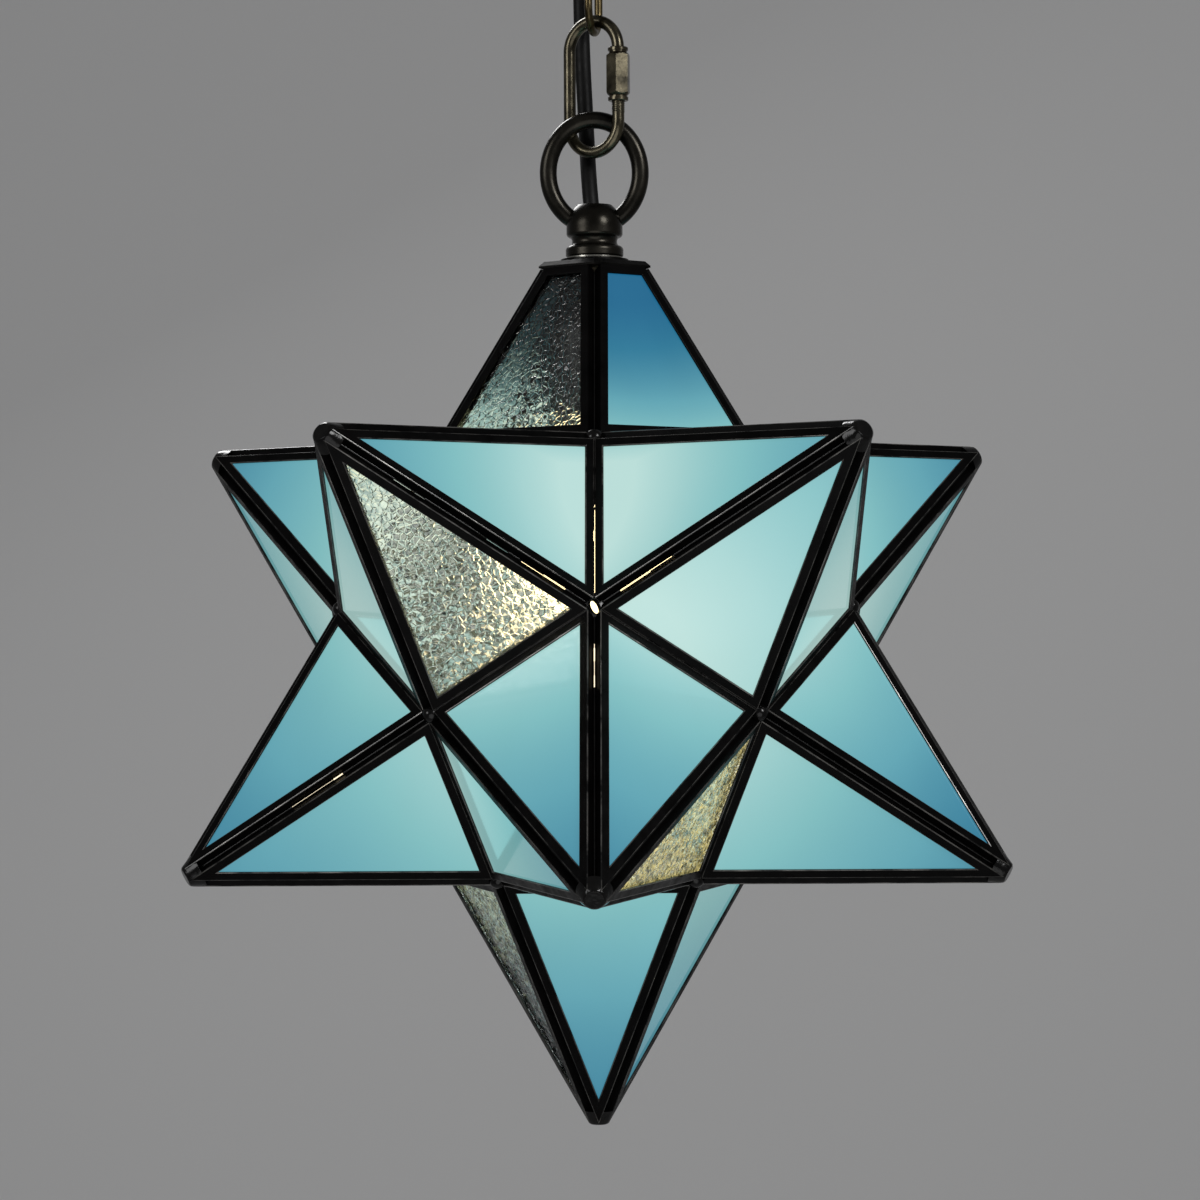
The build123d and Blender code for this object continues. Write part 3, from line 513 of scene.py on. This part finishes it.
def facet_corners(outline, chance):
    """Points round the outline, then points scattered evenly inside it."""
    rim = []
    for a, b in zip(outline, outline[1:] + outline[:1]):
        steps = max(1, round((b - a).length / FACET_SIZE))
        rim += [a.lerp(b, step / steps) for step in range(steps)]
    left, right, right_tip, left_tip = outline[0], outline[1], outline[2], outline[-1]
    rows = int((left_tip.y - left.y) / (FACET_SIZE * ROW_HEIGHT))
    inside = []
    for row in range(1, rows):
        start, end = left.lerp(left_tip, row / rows), right.lerp(right_tip, row / rows)
        count = int((end.x - start.x) / FACET_SIZE)
        for step in range(1, count):
            shift = Vector((chance.uniform(-1, 1), chance.uniform(-1, 1))) * FACET_SIZE * FACET_SCATTER
            share = (step + ROW_SHIFT * (row % 2)) / (count + ROW_SHIFT)
            inside.append(start.lerp(end, share) + shift)
    return rim, inside


def add_pane(made, name, chance):
    """Adds one clear pane."""
    side = CLEAR_SIDE[name]
    middle = between(name, side) * (CORE_EDGE * PHI**2 / 2)
    up = (TIPS[name] * TIP_RADIUS - middle).normalized()
    across = up.cross(TIPS[side])
    rim, inside = facet_corners(pane_outline(name == "top"), chance)
    border = [list(range(len(rim)))]
    flat, _, facets, sources, _, _ = delaunay_2d_cdt(rim + inside, [], border, INSIDE_ONLY, MERGE_DISTANCE)
    outer = []
    edge = {}
    for place, source in zip(flat, sources):
        on_rim = min(source) < len(rim)
        depth = 0.0 if on_rim else chance.uniform(0, FACET_RELIEF)
        spot = STAR_CENTRE + middle + across * place.x + up * place.y + TIPS[side] * (GLASS_T / 2 - depth)
        outer.append(made.verts.new(spot))
        if on_rim:
            edge[min(source)] = outer[-1]
    tilt, gold_light = (made.faces.layers.float[layer] for layer in (FACET_TILT, FACET_GOLD_LIGHT))
    for facet in facets:
        face = made.faces.new([outer[number] for number in facet])
        face[tilt] = chance.uniform(LEAST_TILT, 1.0)
        face[gold_light] = name in GOLD_LIT_PANES
    high = [edge[number] for number in sorted(edge)]
    low = [made.verts.new(vertex.co - TIPS[side] * GLASS_T) for vertex in high]
    made.faces.new(low[::-1])
    for number in range(len(high)):
        after = (number + 1) % len(high)
        made.faces.new((high[number], low[number], low[after], high[after]))


def make_clear_panes(material):
    """Makes the clear panes, in one piece for the star and one for the point that opens."""
    chance = random.Random(FACET_SEED)
    groups = [
        ("crinkled_panes", "star", "clear_panes", [name for name in TIPS if name != DOOR]),
        ("door_crinkled_pane", "door", "upper_back_clear_pane", [DOOR]),
    ]
    for title, body, node, names in groups:
        made = bmesh.new()
        for layer in (FACET_TILT, FACET_GOLD_LIGHT):
            made.faces.layers.float.new(layer)
        for name in names:
            add_pane(made, name, chance)
        piece = mesh_object(title, made, smooth=False)
        piece.data.materials.append(material)
        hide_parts(node)
        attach(piece, body)


# Thread that shows on the link's leg below its sleeve nut

THREAD_LEG_R = 2.4 * MM
THREAD_WIRE_R = 0.22 * MM
THREAD_PITCH = 0.8 * MM
THREAD_TURNS = 5
THREAD_STEPS = 24


def make_thread(material):
    """Makes the thread as a wire that winds down from the sleeve nut's lower end."""
    low, high = (Vector(place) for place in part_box("quick_link_sleeve"))
    x, y = (low.x + high.x) / 2, (low.y + high.y) / 2
    line = []
    for step in range(THREAD_TURNS * THREAD_STEPS + 1):
        turn = 2 * math.pi * step / THREAD_STEPS
        drop = THREAD_PITCH * step / THREAD_STEPS
        around = Vector((math.cos(turn), math.sin(turn), 0)) * THREAD_LEG_R
        line.append(Vector((x, y, low.z - THREAD_WIRE_R - drop)) + around)
    made = bmesh.new()
    add_tube(made, line, THREAD_WIRE_R, SEAM_SIDES)
    piece = mesh_object("link_thread", made)
    piece.data.materials.append(material)
    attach(piece, "quick_link")


# Materials

# The range that most values of a noise lie in
NOISE_LOW = 0.3
NOISE_HIGH = 0.7


class Nodes:
    """Short way to add and join shader nodes of one material."""

    def __init__(self, name):
        self.material = bpy.data.materials.new(name)
        self.material.use_nodes = True
        self.tree = self.material.node_tree
        self.shader = self.tree.nodes["Principled BSDF"]
        self.place = self.add("ShaderNodeTexCoord").outputs["Object"]

    def add(self, kind, **settings):
        """Adds a node and sets its properties."""
        node = self.tree.nodes.new(kind)
        for key, value in settings.items():
            setattr(node, key, value)
        return node

    def join(self, output, socket):
        """Links an output to an input."""
        self.tree.links.new(output, socket)

    def wire(self, output, socket):
        """Links an output to an input of the surface shader."""
        self.join(output, self.shader.inputs[socket])

    def set(self, **values):
        """Sets plain values of the surface shader."""
        for key, value in values.items():
            self.shader.inputs[key.replace("_", " ")].default_value = value

    def noise(self, scale, detail, roughness=0.55, stretch=None):
        """Noise over the object's own coordinates; scale is in cells per metre."""
        node = self.add("ShaderNodeTexNoise")
        node.inputs["Scale"].default_value = scale
        node.inputs["Detail"].default_value = detail
        node.inputs["Roughness"].default_value = roughness
        place = self.place
        if stretch:
            mapping = self.add("ShaderNodeMapping")
            mapping.inputs["Scale"].default_value = stretch
            self.join(place, mapping.inputs["Vector"])
            place = mapping.outputs["Vector"]
        self.join(place, node.inputs["Vector"])
        return node.outputs["Fac"]

    def ramp(self, factor, stops):
        """Colour ramp with stops of (position, colour)."""
        node = self.add("ShaderNodeValToRGB")
        elements = node.color_ramp.elements
        while len(elements) < len(stops):
            elements.new(0.5)
        for element, (position, colour) in zip(elements, stops):
            element.position = position
            element.color = (*colour, 1.0)
        self.join(factor, node.inputs["Fac"])
        return node.outputs["Color"]

    def mix(self, factor, first, second):
        """First colour where the factor is 0, second where it is 1."""
        node = self.add("ShaderNodeMix", data_type="RGBA")
        self.join(factor, node.inputs["Factor"])
        self.join(first, node.inputs["A"])
        self.join(second, node.inputs["B"])
        return node.outputs["Result"]

    def span(self, value, low, high, to_low, to_high):
        """Maps a value from one range to another, held at the ends."""
        node = self.add("ShaderNodeMapRange")
        for socket, number in zip(("From Min", "From Max", "To Min", "To Max"), (low, high, to_low, to_high)):
            node.inputs[socket].default_value = number
        self.join(value, node.inputs["Value"])
        return node.outputs["Result"]

    def math(self, operation, first, second=None):
        """Sum, product or the like of numbers or outputs."""
        node = self.add("ShaderNodeMath", operation=operation)
        for socket, value in zip(node.inputs, (first, second)):
            if value is None:
                continue
            if isinstance(value, (int, float)):
                socket.default_value = value
            else:
                self.join(value, socket)
        return node.outputs["Value"]

    def bump(self, height, distance, strength):
        """Makes the surface look uneven by a height map."""
        node = self.add("ShaderNodeBump")
        node.inputs["Distance"].default_value = distance
        node.inputs["Strength"].default_value = strength
        self.join(height, node.inputs["Height"])
        self.wire(node.outputs["Normal"], "Normal")

    def vary(self, scale, detail, low, high):
        """Noise that wanders between two values."""
        return self.span(self.noise(scale, detail), NOISE_LOW, NOISE_HIGH, low, high)

    def mottle(self, noise, dark, light, low=NOISE_LOW, high=NOISE_HIGH):
        """Gives the surface a colour that wanders between two screen colours."""
        self.wire(self.ramp(noise, [(low, srgb(*dark)), (high, srgb(*light))]), "Base Color")


def srgb(red, green, blue):
    """Linear colour of 0 to 255 screen values."""
    linear = []
    for value in (red, green, blue):
        part = value / 255
        linear.append(part / 12.92 if part <= 0.04045 else ((part + 0.055) / 1.055) ** 2.4)
    return tuple(linear)


# The lamp's light on the panes, painted on them as a glow: its middle, the distance where its level is one,
# how it falls off with distance and angle, the painted shade of the holder above it, and the level where the
# colours below end
GLOW_MIDDLE = STAR_CENTRE + Vector((2, -22, 34)) * MM
GLOW_REACH = 100.0 * MM
GLOW_FALL = 1.15
GLOW_FACING = 0.83
GLOW_SHADE = 3.5
GLOW_SHADE_FROM = 0.54
GLOW_SPAN = 1.25

# Colours that show on the opal panes' outer and inner faces at each level of light, as painted lamplight
OUTER_COLOURS = [
    (0.10, (45, 110, 147)),
    (0.15, (55, 125, 155)),
    (0.30, (102, 168, 182)),
    (0.50, (132, 193, 196)),
    (0.80, (168, 213, 211)),
    (1.10, (189, 225, 220)),
]
INNER_COLOURS = [
    (0.10, (6, 9, 10)),
    (0.25, (27, 40, 42)),
    (0.40, (86, 110, 108)),
    (0.55, (160, 188, 180)),
    (0.95, (220, 228, 210)),
]

# Studio light that the opal glass reflects; its painted glow of lamplight makes up the rest of the colour
# that shows
GLASS_REFLECTS = (0.019, 0.056, 0.078)
NO_REFLECTION = (0.0, 0.0, 0.0)

# Painted glints: lamp light that the clear panes' facets scatter at each level of light; on gold-lit panes,
# painted gold light at each tilt
CLEAR_COLOURS = [
    (0.40, (0, 0, 0)),
    (0.55, (86, 90, 68)),
    (0.75, (80, 83, 67)),
    (0.95, (82, 86, 74)),
    (1.10, (124, 116, 88)),
    (1.25, (240, 222, 168)),
]
GOLD_LIGHT_COLOURS = [
    (0.2, (162, 149, 94)),
    (0.6, (80, 74, 46)),
    (1.0, (0, 0, 0)),
]

# What the clear panes let through at each tilt, in linear colour: darker on more tilted facets, as painted
# shade
CLEAR_TINTS = [
    (0.0, (0.97, 0.99, 0.98)),
    (0.6, (0.90, 0.94, 0.93)),
    (1.0, (0.30, 0.36, 0.35)),
]

# How much painted lamplight a facet catches at the least and at the full tilt, and off and on a crease, which
# gets a painted highlight
TILT_CATCHES = (1.25, 0.5)
CREASE_CATCHES = (0.95, 1.2)

# Fine creases across the facets; a crease takes up this share of a cell
CREASE_CELL = 2.5 * MM
CREASE_DEPTH = 0.22 * MM
CREASE_SHARE = 0.13


def pane_light(n):
    """How strongly the lamp shines on a pane, and a value that is one on the pane's inner face."""
    away = n.add("ShaderNodeVectorMath", operation="SUBTRACT")
    away.inputs[1].default_value = GLOW_MIDDLE
    n.join(n.place, away.inputs[0])
    length = n.add("ShaderNodeVectorMath", operation="LENGTH")
    n.join(away.outputs["Vector"], length.inputs[0])
    distance = length.outputs["Value"]
    facing = n.add("ShaderNodeVectorMath", operation="DOT_PRODUCT")
    n.join(away.outputs["Vector"], facing.inputs[0])
    n.join(n.add("ShaderNodeTexCoord").outputs["Normal"], facing.inputs[1])
    cosine = n.math("DIVIDE", n.math("ABSOLUTE", facing.outputs["Value"]), distance)
    spread = n.math("POWER", n.math("DIVIDE", GLOW_REACH, distance), GLOW_FALL)
    split = n.add("ShaderNodeSeparateXYZ")
    n.join(away.outputs["Vector"], split.inputs["Vector"])
    upward = n.math("SUBTRACT", n.math("DIVIDE", split.outputs["Z"], distance), GLOW_SHADE_FROM)
    shade = n.math("EXPONENT", n.math("MULTIPLY", n.math("MAXIMUM", upward, 0.0), -GLOW_SHADE))
    lit = n.math("MULTIPLY", n.math("MULTIPLY", n.math("POWER", cosine, GLOW_FACING), spread), shade)
    return lit, n.math("LESS_THAN", facing.outputs["Value"], 0.0)


def glow_ramp(n, level, colours, reflects):
    """Emission colours over the level of light, less what the surface reflects anyway."""
    stops = []
    for place, colour in colours:
        emitted = tuple(max(shows - part, 0.0) for shows, part in zip(srgb(*colour), reflects))
        stops.append((place / GLOW_SPAN, emitted))
    return n.ramp(level, stops)


def opal_glass():
    """Blue opal glass with the lamp's light inside painted on as a glow: mint near the lamp, blue far from
    it, greyer on its inner face.
    """
    n = Nodes("opal_glass")
    lit, inside = pane_light(n)
    level = n.math("DIVIDE", n.math("ADD", lit, n.vary(9.0, 2.0, -0.02, 0.02)), GLOW_SPAN)
    outer_glow = glow_ramp(n, level, OUTER_COLOURS, GLASS_REFLECTS)
    inner_glow = glow_ramp(n, level, INNER_COLOURS, NO_REFLECTION)
    # Painted lamplight: the glow on the outer and inner faces, from the lamp's level of light on them
    n.wire(n.mix(inside, outer_glow, inner_glow), "Emission Color")
    n.set(Emission_Strength=1.04, Specular_IOR_Level=0.0, Coat_Weight=1.0, Coat_IOR=1.5, Coat_Roughness=0.08)
    n.mottle(n.noise(22.0, 3.0, 0.5, (1.0, 1.0, 0.35)), (32, 68, 84), (42, 82, 98))
    n.wire(n.vary(60.0, 2.0, 0.10, 0.18), "Roughness")
    n.bump(n.noise(14.0, 2.0), 0.25 * MM, 0.35)
    return n.material


def clear_glass():
    """Clear glass, faintly grey, with painted glints and painted shade: each facet passes and scatters the
    lamp's light in its own measure.
    """
    n = Nodes("clear_glass")
    n.set(IOR=1.5, Specular_IOR_Level=0.3, Transmission_Weight=1.0, Roughness=0.02, Emission_Strength=1.0)
    tilt = n.add("ShaderNodeAttribute", attribute_name=FACET_TILT).outputs["Fac"]
    # Painted shade: the more tilted a facet, the less light it lets through
    n.wire(n.ramp(tilt, CLEAR_TINTS), "Base Color")
    outer = n.math("GREATER_THAN", tilt, LEAST_TILT / 2)
    cells = n.add("ShaderNodeTexVoronoi", feature="DISTANCE_TO_EDGE")
    cells.inputs["Scale"].default_value = 1 / CREASE_CELL
    n.join(n.place, cells.inputs["Vector"])
    crease = n.span(cells.outputs["Distance"], 0.0, CREASE_SHARE, 1.0, 0.0)
    n.bump(n.math("MULTIPLY", crease, outer), CREASE_DEPTH, 0.7)
    lit, _ = pane_light(n)
    # Painted glints: how much lamplight each facet catches, less on tilted facets and more on creases
    catches = n.math("MULTIPLY", outer, n.span(tilt, LEAST_TILT, 1.0, *TILT_CATCHES))
    catches = n.math("MULTIPLY", catches, n.span(crease, 0.0, 1.0, *CREASE_CATCHES))
    level = n.math("DIVIDE", n.math("MULTIPLY", lit, catches), GLOW_SPAN)
    scattered = glow_ramp(n, level, CLEAR_COLOURS, NO_REFLECTION)
    # Painted gold lamplight on the gold-lit panes takes the place of their painted glints
    gold_light = n.add("ShaderNodeAttribute", attribute_name=FACET_GOLD_LIGHT).outputs["Fac"]
    gold_lit = n.ramp(tilt, [(place, srgb(*colour)) for place, colour in GOLD_LIGHT_COLOURS])
    n.wire(n.mix(gold_light, scattered, gold_lit), "Emission Color")
    return n.material


def black_came():
    """Blackened channel: near black, satin, with a slight cloudiness."""
    n = Nodes("black_came")
    n.mottle(n.noise(55.0, 5.0), (2, 2, 2), (7, 6, 6))
    n.wire(n.vary(140.0, 4.0, 0.26, 0.46), "Roughness")
    n.set(Specular_IOR_Level=0.07)
    n.bump(n.noise(420.0, 3.0), 0.06 * MM, 0.5)
    return n.material


def came_edge():
    """Rounded edge of the channel: rubbed to a paler shine that is partly a painted highlight, so that it
    glints where it meets the light.
    """
    n = Nodes("came_edge")
    wear = n.noise(85.0, 5.0, 0.65)
    # Pale rubbed edge: partly wear, partly a painted highlight along the edge
    n.mottle(wear, (12, 12, 12), (128, 126, 122), 0.40, 0.75)
    n.wire(n.span(wear, 0.35, 0.75, 0.10, 0.70), "Metallic")
    n.wire(n.vary(200.0, 3.0, 0.10, 0.2), "Roughness")
    return n.material


def solder():
    """Dark solder that has run and set with a shine."""
    n = Nodes("dark_solder")
    n.mottle(n.noise(240.0, 5.0), (4, 4, 4), (15, 14, 13), 0.35, 0.75)
    n.wire(n.vary(160.0, 3.0, 0.10, 0.24), "Roughness")
    n.set(Specular_IOR_Level=0.3)
    n.bump(n.noise(420.0, 3.0), 0.22 * MM, 0.6)
    return n.material


def metal(name, dark, light, roughness, scale=90.0):
    """Worn metal between a dark and a light tone, with uneven shine."""
    n = Nodes(name)
    n.mottle(n.noise(scale, 6.0, 0.6), dark, light, 0.32, 0.72)
    n.wire(n.vary(scale * 2.6, 4.0, roughness - 0.08, roughness + 0.1), "Roughness")
    n.set(Metallic=0.9)
    n.bump(n.noise(scale * 8, 3.0), 0.04 * MM, 0.6)
    return n.material


def rubber(name, dark, light, roughness, shine=0.5):
    """Matte rubber or plastic with a fine grain."""
    n = Nodes(name)
    n.mottle(n.noise(120.0, 4.0), dark, light)
    n.wire(n.vary(300.0, 3.0, roughness - 0.06, roughness + 0.08), "Roughness")
    n.set(Specular_IOR_Level=shine)
    n.bump(n.noise(1600.0, 2.0), 0.03 * MM, 0.4)
    return n.material


def glowing(name, colour, strength):
    """Glowing surface, very slightly uneven."""
    n = Nodes(name)
    n.set(Base_Color=(0.9, 0.88, 0.82, 1.0), Roughness=0.35, Emission_Strength=strength)
    dimmer = tuple(part * 0.94 for part in colour)
    n.wire(n.ramp(n.noise(30.0, 1.0), [(NOISE_LOW, colour), (NOISE_HIGH, dimmer)]), "Emission Color")
    return n.material


# Looks of the solids, and the rounding of their edges

CAME_ROUNDING = 0.35 * MM
SOLDER_ROUNDING = 0.9 * MM
ROUNDING_STEPS = 2
ROUNDED_ANGLE = math.radians(32)
WELD_DISTANCE = 0.002 * MM


def round_edges(piece, width, edge_material):
    """Rounds a solid's sharp edges slightly and gives the rounding a material of its own."""
    piece.data.materials.append(edge_material)
    weld = piece.modifiers.new("weld", "WELD")
    weld.merge_threshold = WELD_DISTANCE
    bevel = piece.modifiers.new("bevel", "BEVEL")
    bevel.width = width
    bevel.segments = ROUNDING_STEPS
    bevel.limit_method = "ANGLE"
    bevel.angle_limit = ROUNDED_ANGLE
    bevel.material = len(piece.data.materials) - 1
    bevel.harden_normals = False
    normals = piece.modifiers.new("normals", "WEIGHTED_NORMAL")
    normals.keep_sharp = True


def paint(names, material):
    """Gives solids a material."""
    for name in names:
        piece = nodes[name]
        piece.data.materials.clear()
        piece.data.materials.append(material)


def named(ending):
    """Names of the solids that end like this."""
    return [name for name in nodes if name.endswith(ending)]


def dress_star():
    """Glass, came and solder of the star. The edges at its top stay plain black, as painted shade."""
    paint(named("_opal_panes"), opal_glass())
    make_clear_panes(clear_glass())
    came, edge = black_came(), came_edge()
    frames = named("_frames")
    paint(frames, came)
    for name in frames:
        # The top's frames get plain black edges instead of the pale ones: painted shade
        round_edges(nodes[name], CAME_ROUNDING, came if name == "top_frames" else edge)
    dark_solder = solder()
    blobs = named("tip_solder") + ["valley_solder"]
    paint(blobs, dark_solder)
    for name in blobs:
        round_edges(nodes[name], SOLDER_ROUNDING, dark_solder)
    make_seams(dark_solder)
    make_leaks(glowing("leaked_light", (1.0, 0.80, 0.46), 1.1))
    paint(["hinge_fixed_leaf", "hinge_door_leaf", "hinge_pin"], came)


def dress_fittings():
    """Metal, plastic and rubber of the fittings, the lit bulb, the thread and the cable."""
    bronze = metal("bronze_black", (26, 25, 22), (54, 51, 45), 0.27, 60.0)
    paint(["loop_hub", "hanging_ring", "canopy_dish", "loop_collar"], bronze)
    paint(["top_cap", "seat_disc"], metal("cap_black", (12, 12, 11), (28, 27, 25), 0.32, 60.0))
    steel = metal("link_steel", (34, 32, 26), (112, 105, 86), 0.22)
    paint(["quick_link_body", "quick_link_sleeve", "lock_nut", "stem_tube"], steel)
    paint(["bright_washer"], metal("washer_steel", (118, 116, 110), (164, 162, 154), 0.26))
    make_thread(steel)
    brass = metal("antique_brass", (52, 44, 28), (116, 102, 70), 0.34)
    paint(["lower_chain_link", "upper_chain_link", "canopy_loop"], brass)
    paint(["mounting_plate"], metal("plate_steel", (104, 104, 102), (142, 142, 140), 0.5))
    contact = metal("contact_metal", (150, 132, 90), (196, 180, 130), 0.3)
    paint(["screw_shell", "centre_contact", "bulb_base"], contact)
    paint(["holder_cap", "holder_body"], rubber("holder_black", (18, 18, 18), (34, 33, 32), 0.4))
    paint(["terminal_block"], rubber("terminal_plastic", (200, 198, 190), (222, 220, 212), 0.5))
    black = rubber("cable_rubber", (5, 5, 5), (11, 11, 10), 0.5, 0.2)
    paint(["cable_in_stem", "cable_grommet", "power_cable"], black)
    paint(["bulb_glass"], glowing("bulb_glass", (1.0, 0.76, 0.38), 3.2))
    paint(["bulb_filament"], glowing("bulb_filament", (1.0, 0.70, 0.32), 4.0))
    make_cable(black)


# Stage and light

BACKDROP_GREY = 0.68
FLOOR_Z = -3.2
FLOOR_FRONT_Y = -6.0
WALL_Y = 2.9
WALL_TOP_Z = 4.0
BEND_R = 0.9
BEND_STEPS = 16
STAGE_HALF_WIDTH = 5.0

# Round soft lights: place, diameter and power in watts
LIGHTS = {
    "key": ((1.6, -1.8, 0.9), 1.0, 34.0),
    "fill": ((-1.9, -1.5, 0.4), 1.2, 16.0),
    "back": ((-0.8, 1.8, 1.2), 1.0, 20.0),
    "low": ((0.1, -2.0, -1.3), 2.2, 12.0),
}
LIGHTS_AIM = Vector((0, 0, -0.33))
ROOM_COLOUR = (0.62, 0.62, 0.63, 1.0)
ROOM_STRENGTH = 0.2


def make_stage():
    """Pale floor that curves up into a pale backdrop."""
    n = Nodes("backdrop")
    n.set(Base_Color=(BACKDROP_GREY, BACKDROP_GREY, BACKDROP_GREY, 1.0), Roughness=0.9)
    profile = [(FLOOR_FRONT_Y, FLOOR_Z), (WALL_Y - BEND_R, FLOOR_Z)]
    for step in range(1, BEND_STEPS + 1):
        turn = math.pi / 2 * step / BEND_STEPS
        profile.append((WALL_Y + BEND_R * (math.sin(turn) - 1), FLOOR_Z + BEND_R * (1 - math.cos(turn))))
    profile.append((WALL_Y, WALL_TOP_Z))
    made = bmesh.new()
    sides = [[made.verts.new((x, y, z)) for y, z in profile] for x in (-STAGE_HALF_WIDTH, STAGE_HALF_WIDTH)]
    for number in range(len(profile) - 1):
        made.faces.new((sides[0][number], sides[1][number], sides[1][number + 1], sides[0][number + 1]))
    backdrop = mesh_object("backdrop", made)
    backdrop.data.materials.append(n.material)


def area_light(name, place, size, power):
    """Round light that faces the part and doesn't show itself."""
    data = bpy.data.lights.new(name, "AREA")
    data.shape = "DISK"
    data.size = size
    data.energy = power
    light = bpy.data.objects.new(name, data)
    bpy.context.collection.objects.link(light)
    light.visible_camera = False
    light.location = place
    light.rotation_euler = (LIGHTS_AIM - Vector(place)).to_track_quat("-Z", "Y").to_euler()


def make_lights():
    """Studio lights in a pale room."""
    for name, (place, size, power) in LIGHTS.items():
        area_light(name, place, size, power)
    world = bpy.data.worlds.new("studio")
    world.use_nodes = True
    room = world.node_tree.nodes["Background"]
    room.inputs["Color"].default_value = ROOM_COLOUR
    room.inputs["Strength"].default_value = ROOM_STRENGTH
    bpy.context.scene.world = world
    bpy.context.scene.view_settings.view_transform = "Standard"


make_camera()
dress_fittings()
dress_star()
make_stage()
make_lights()
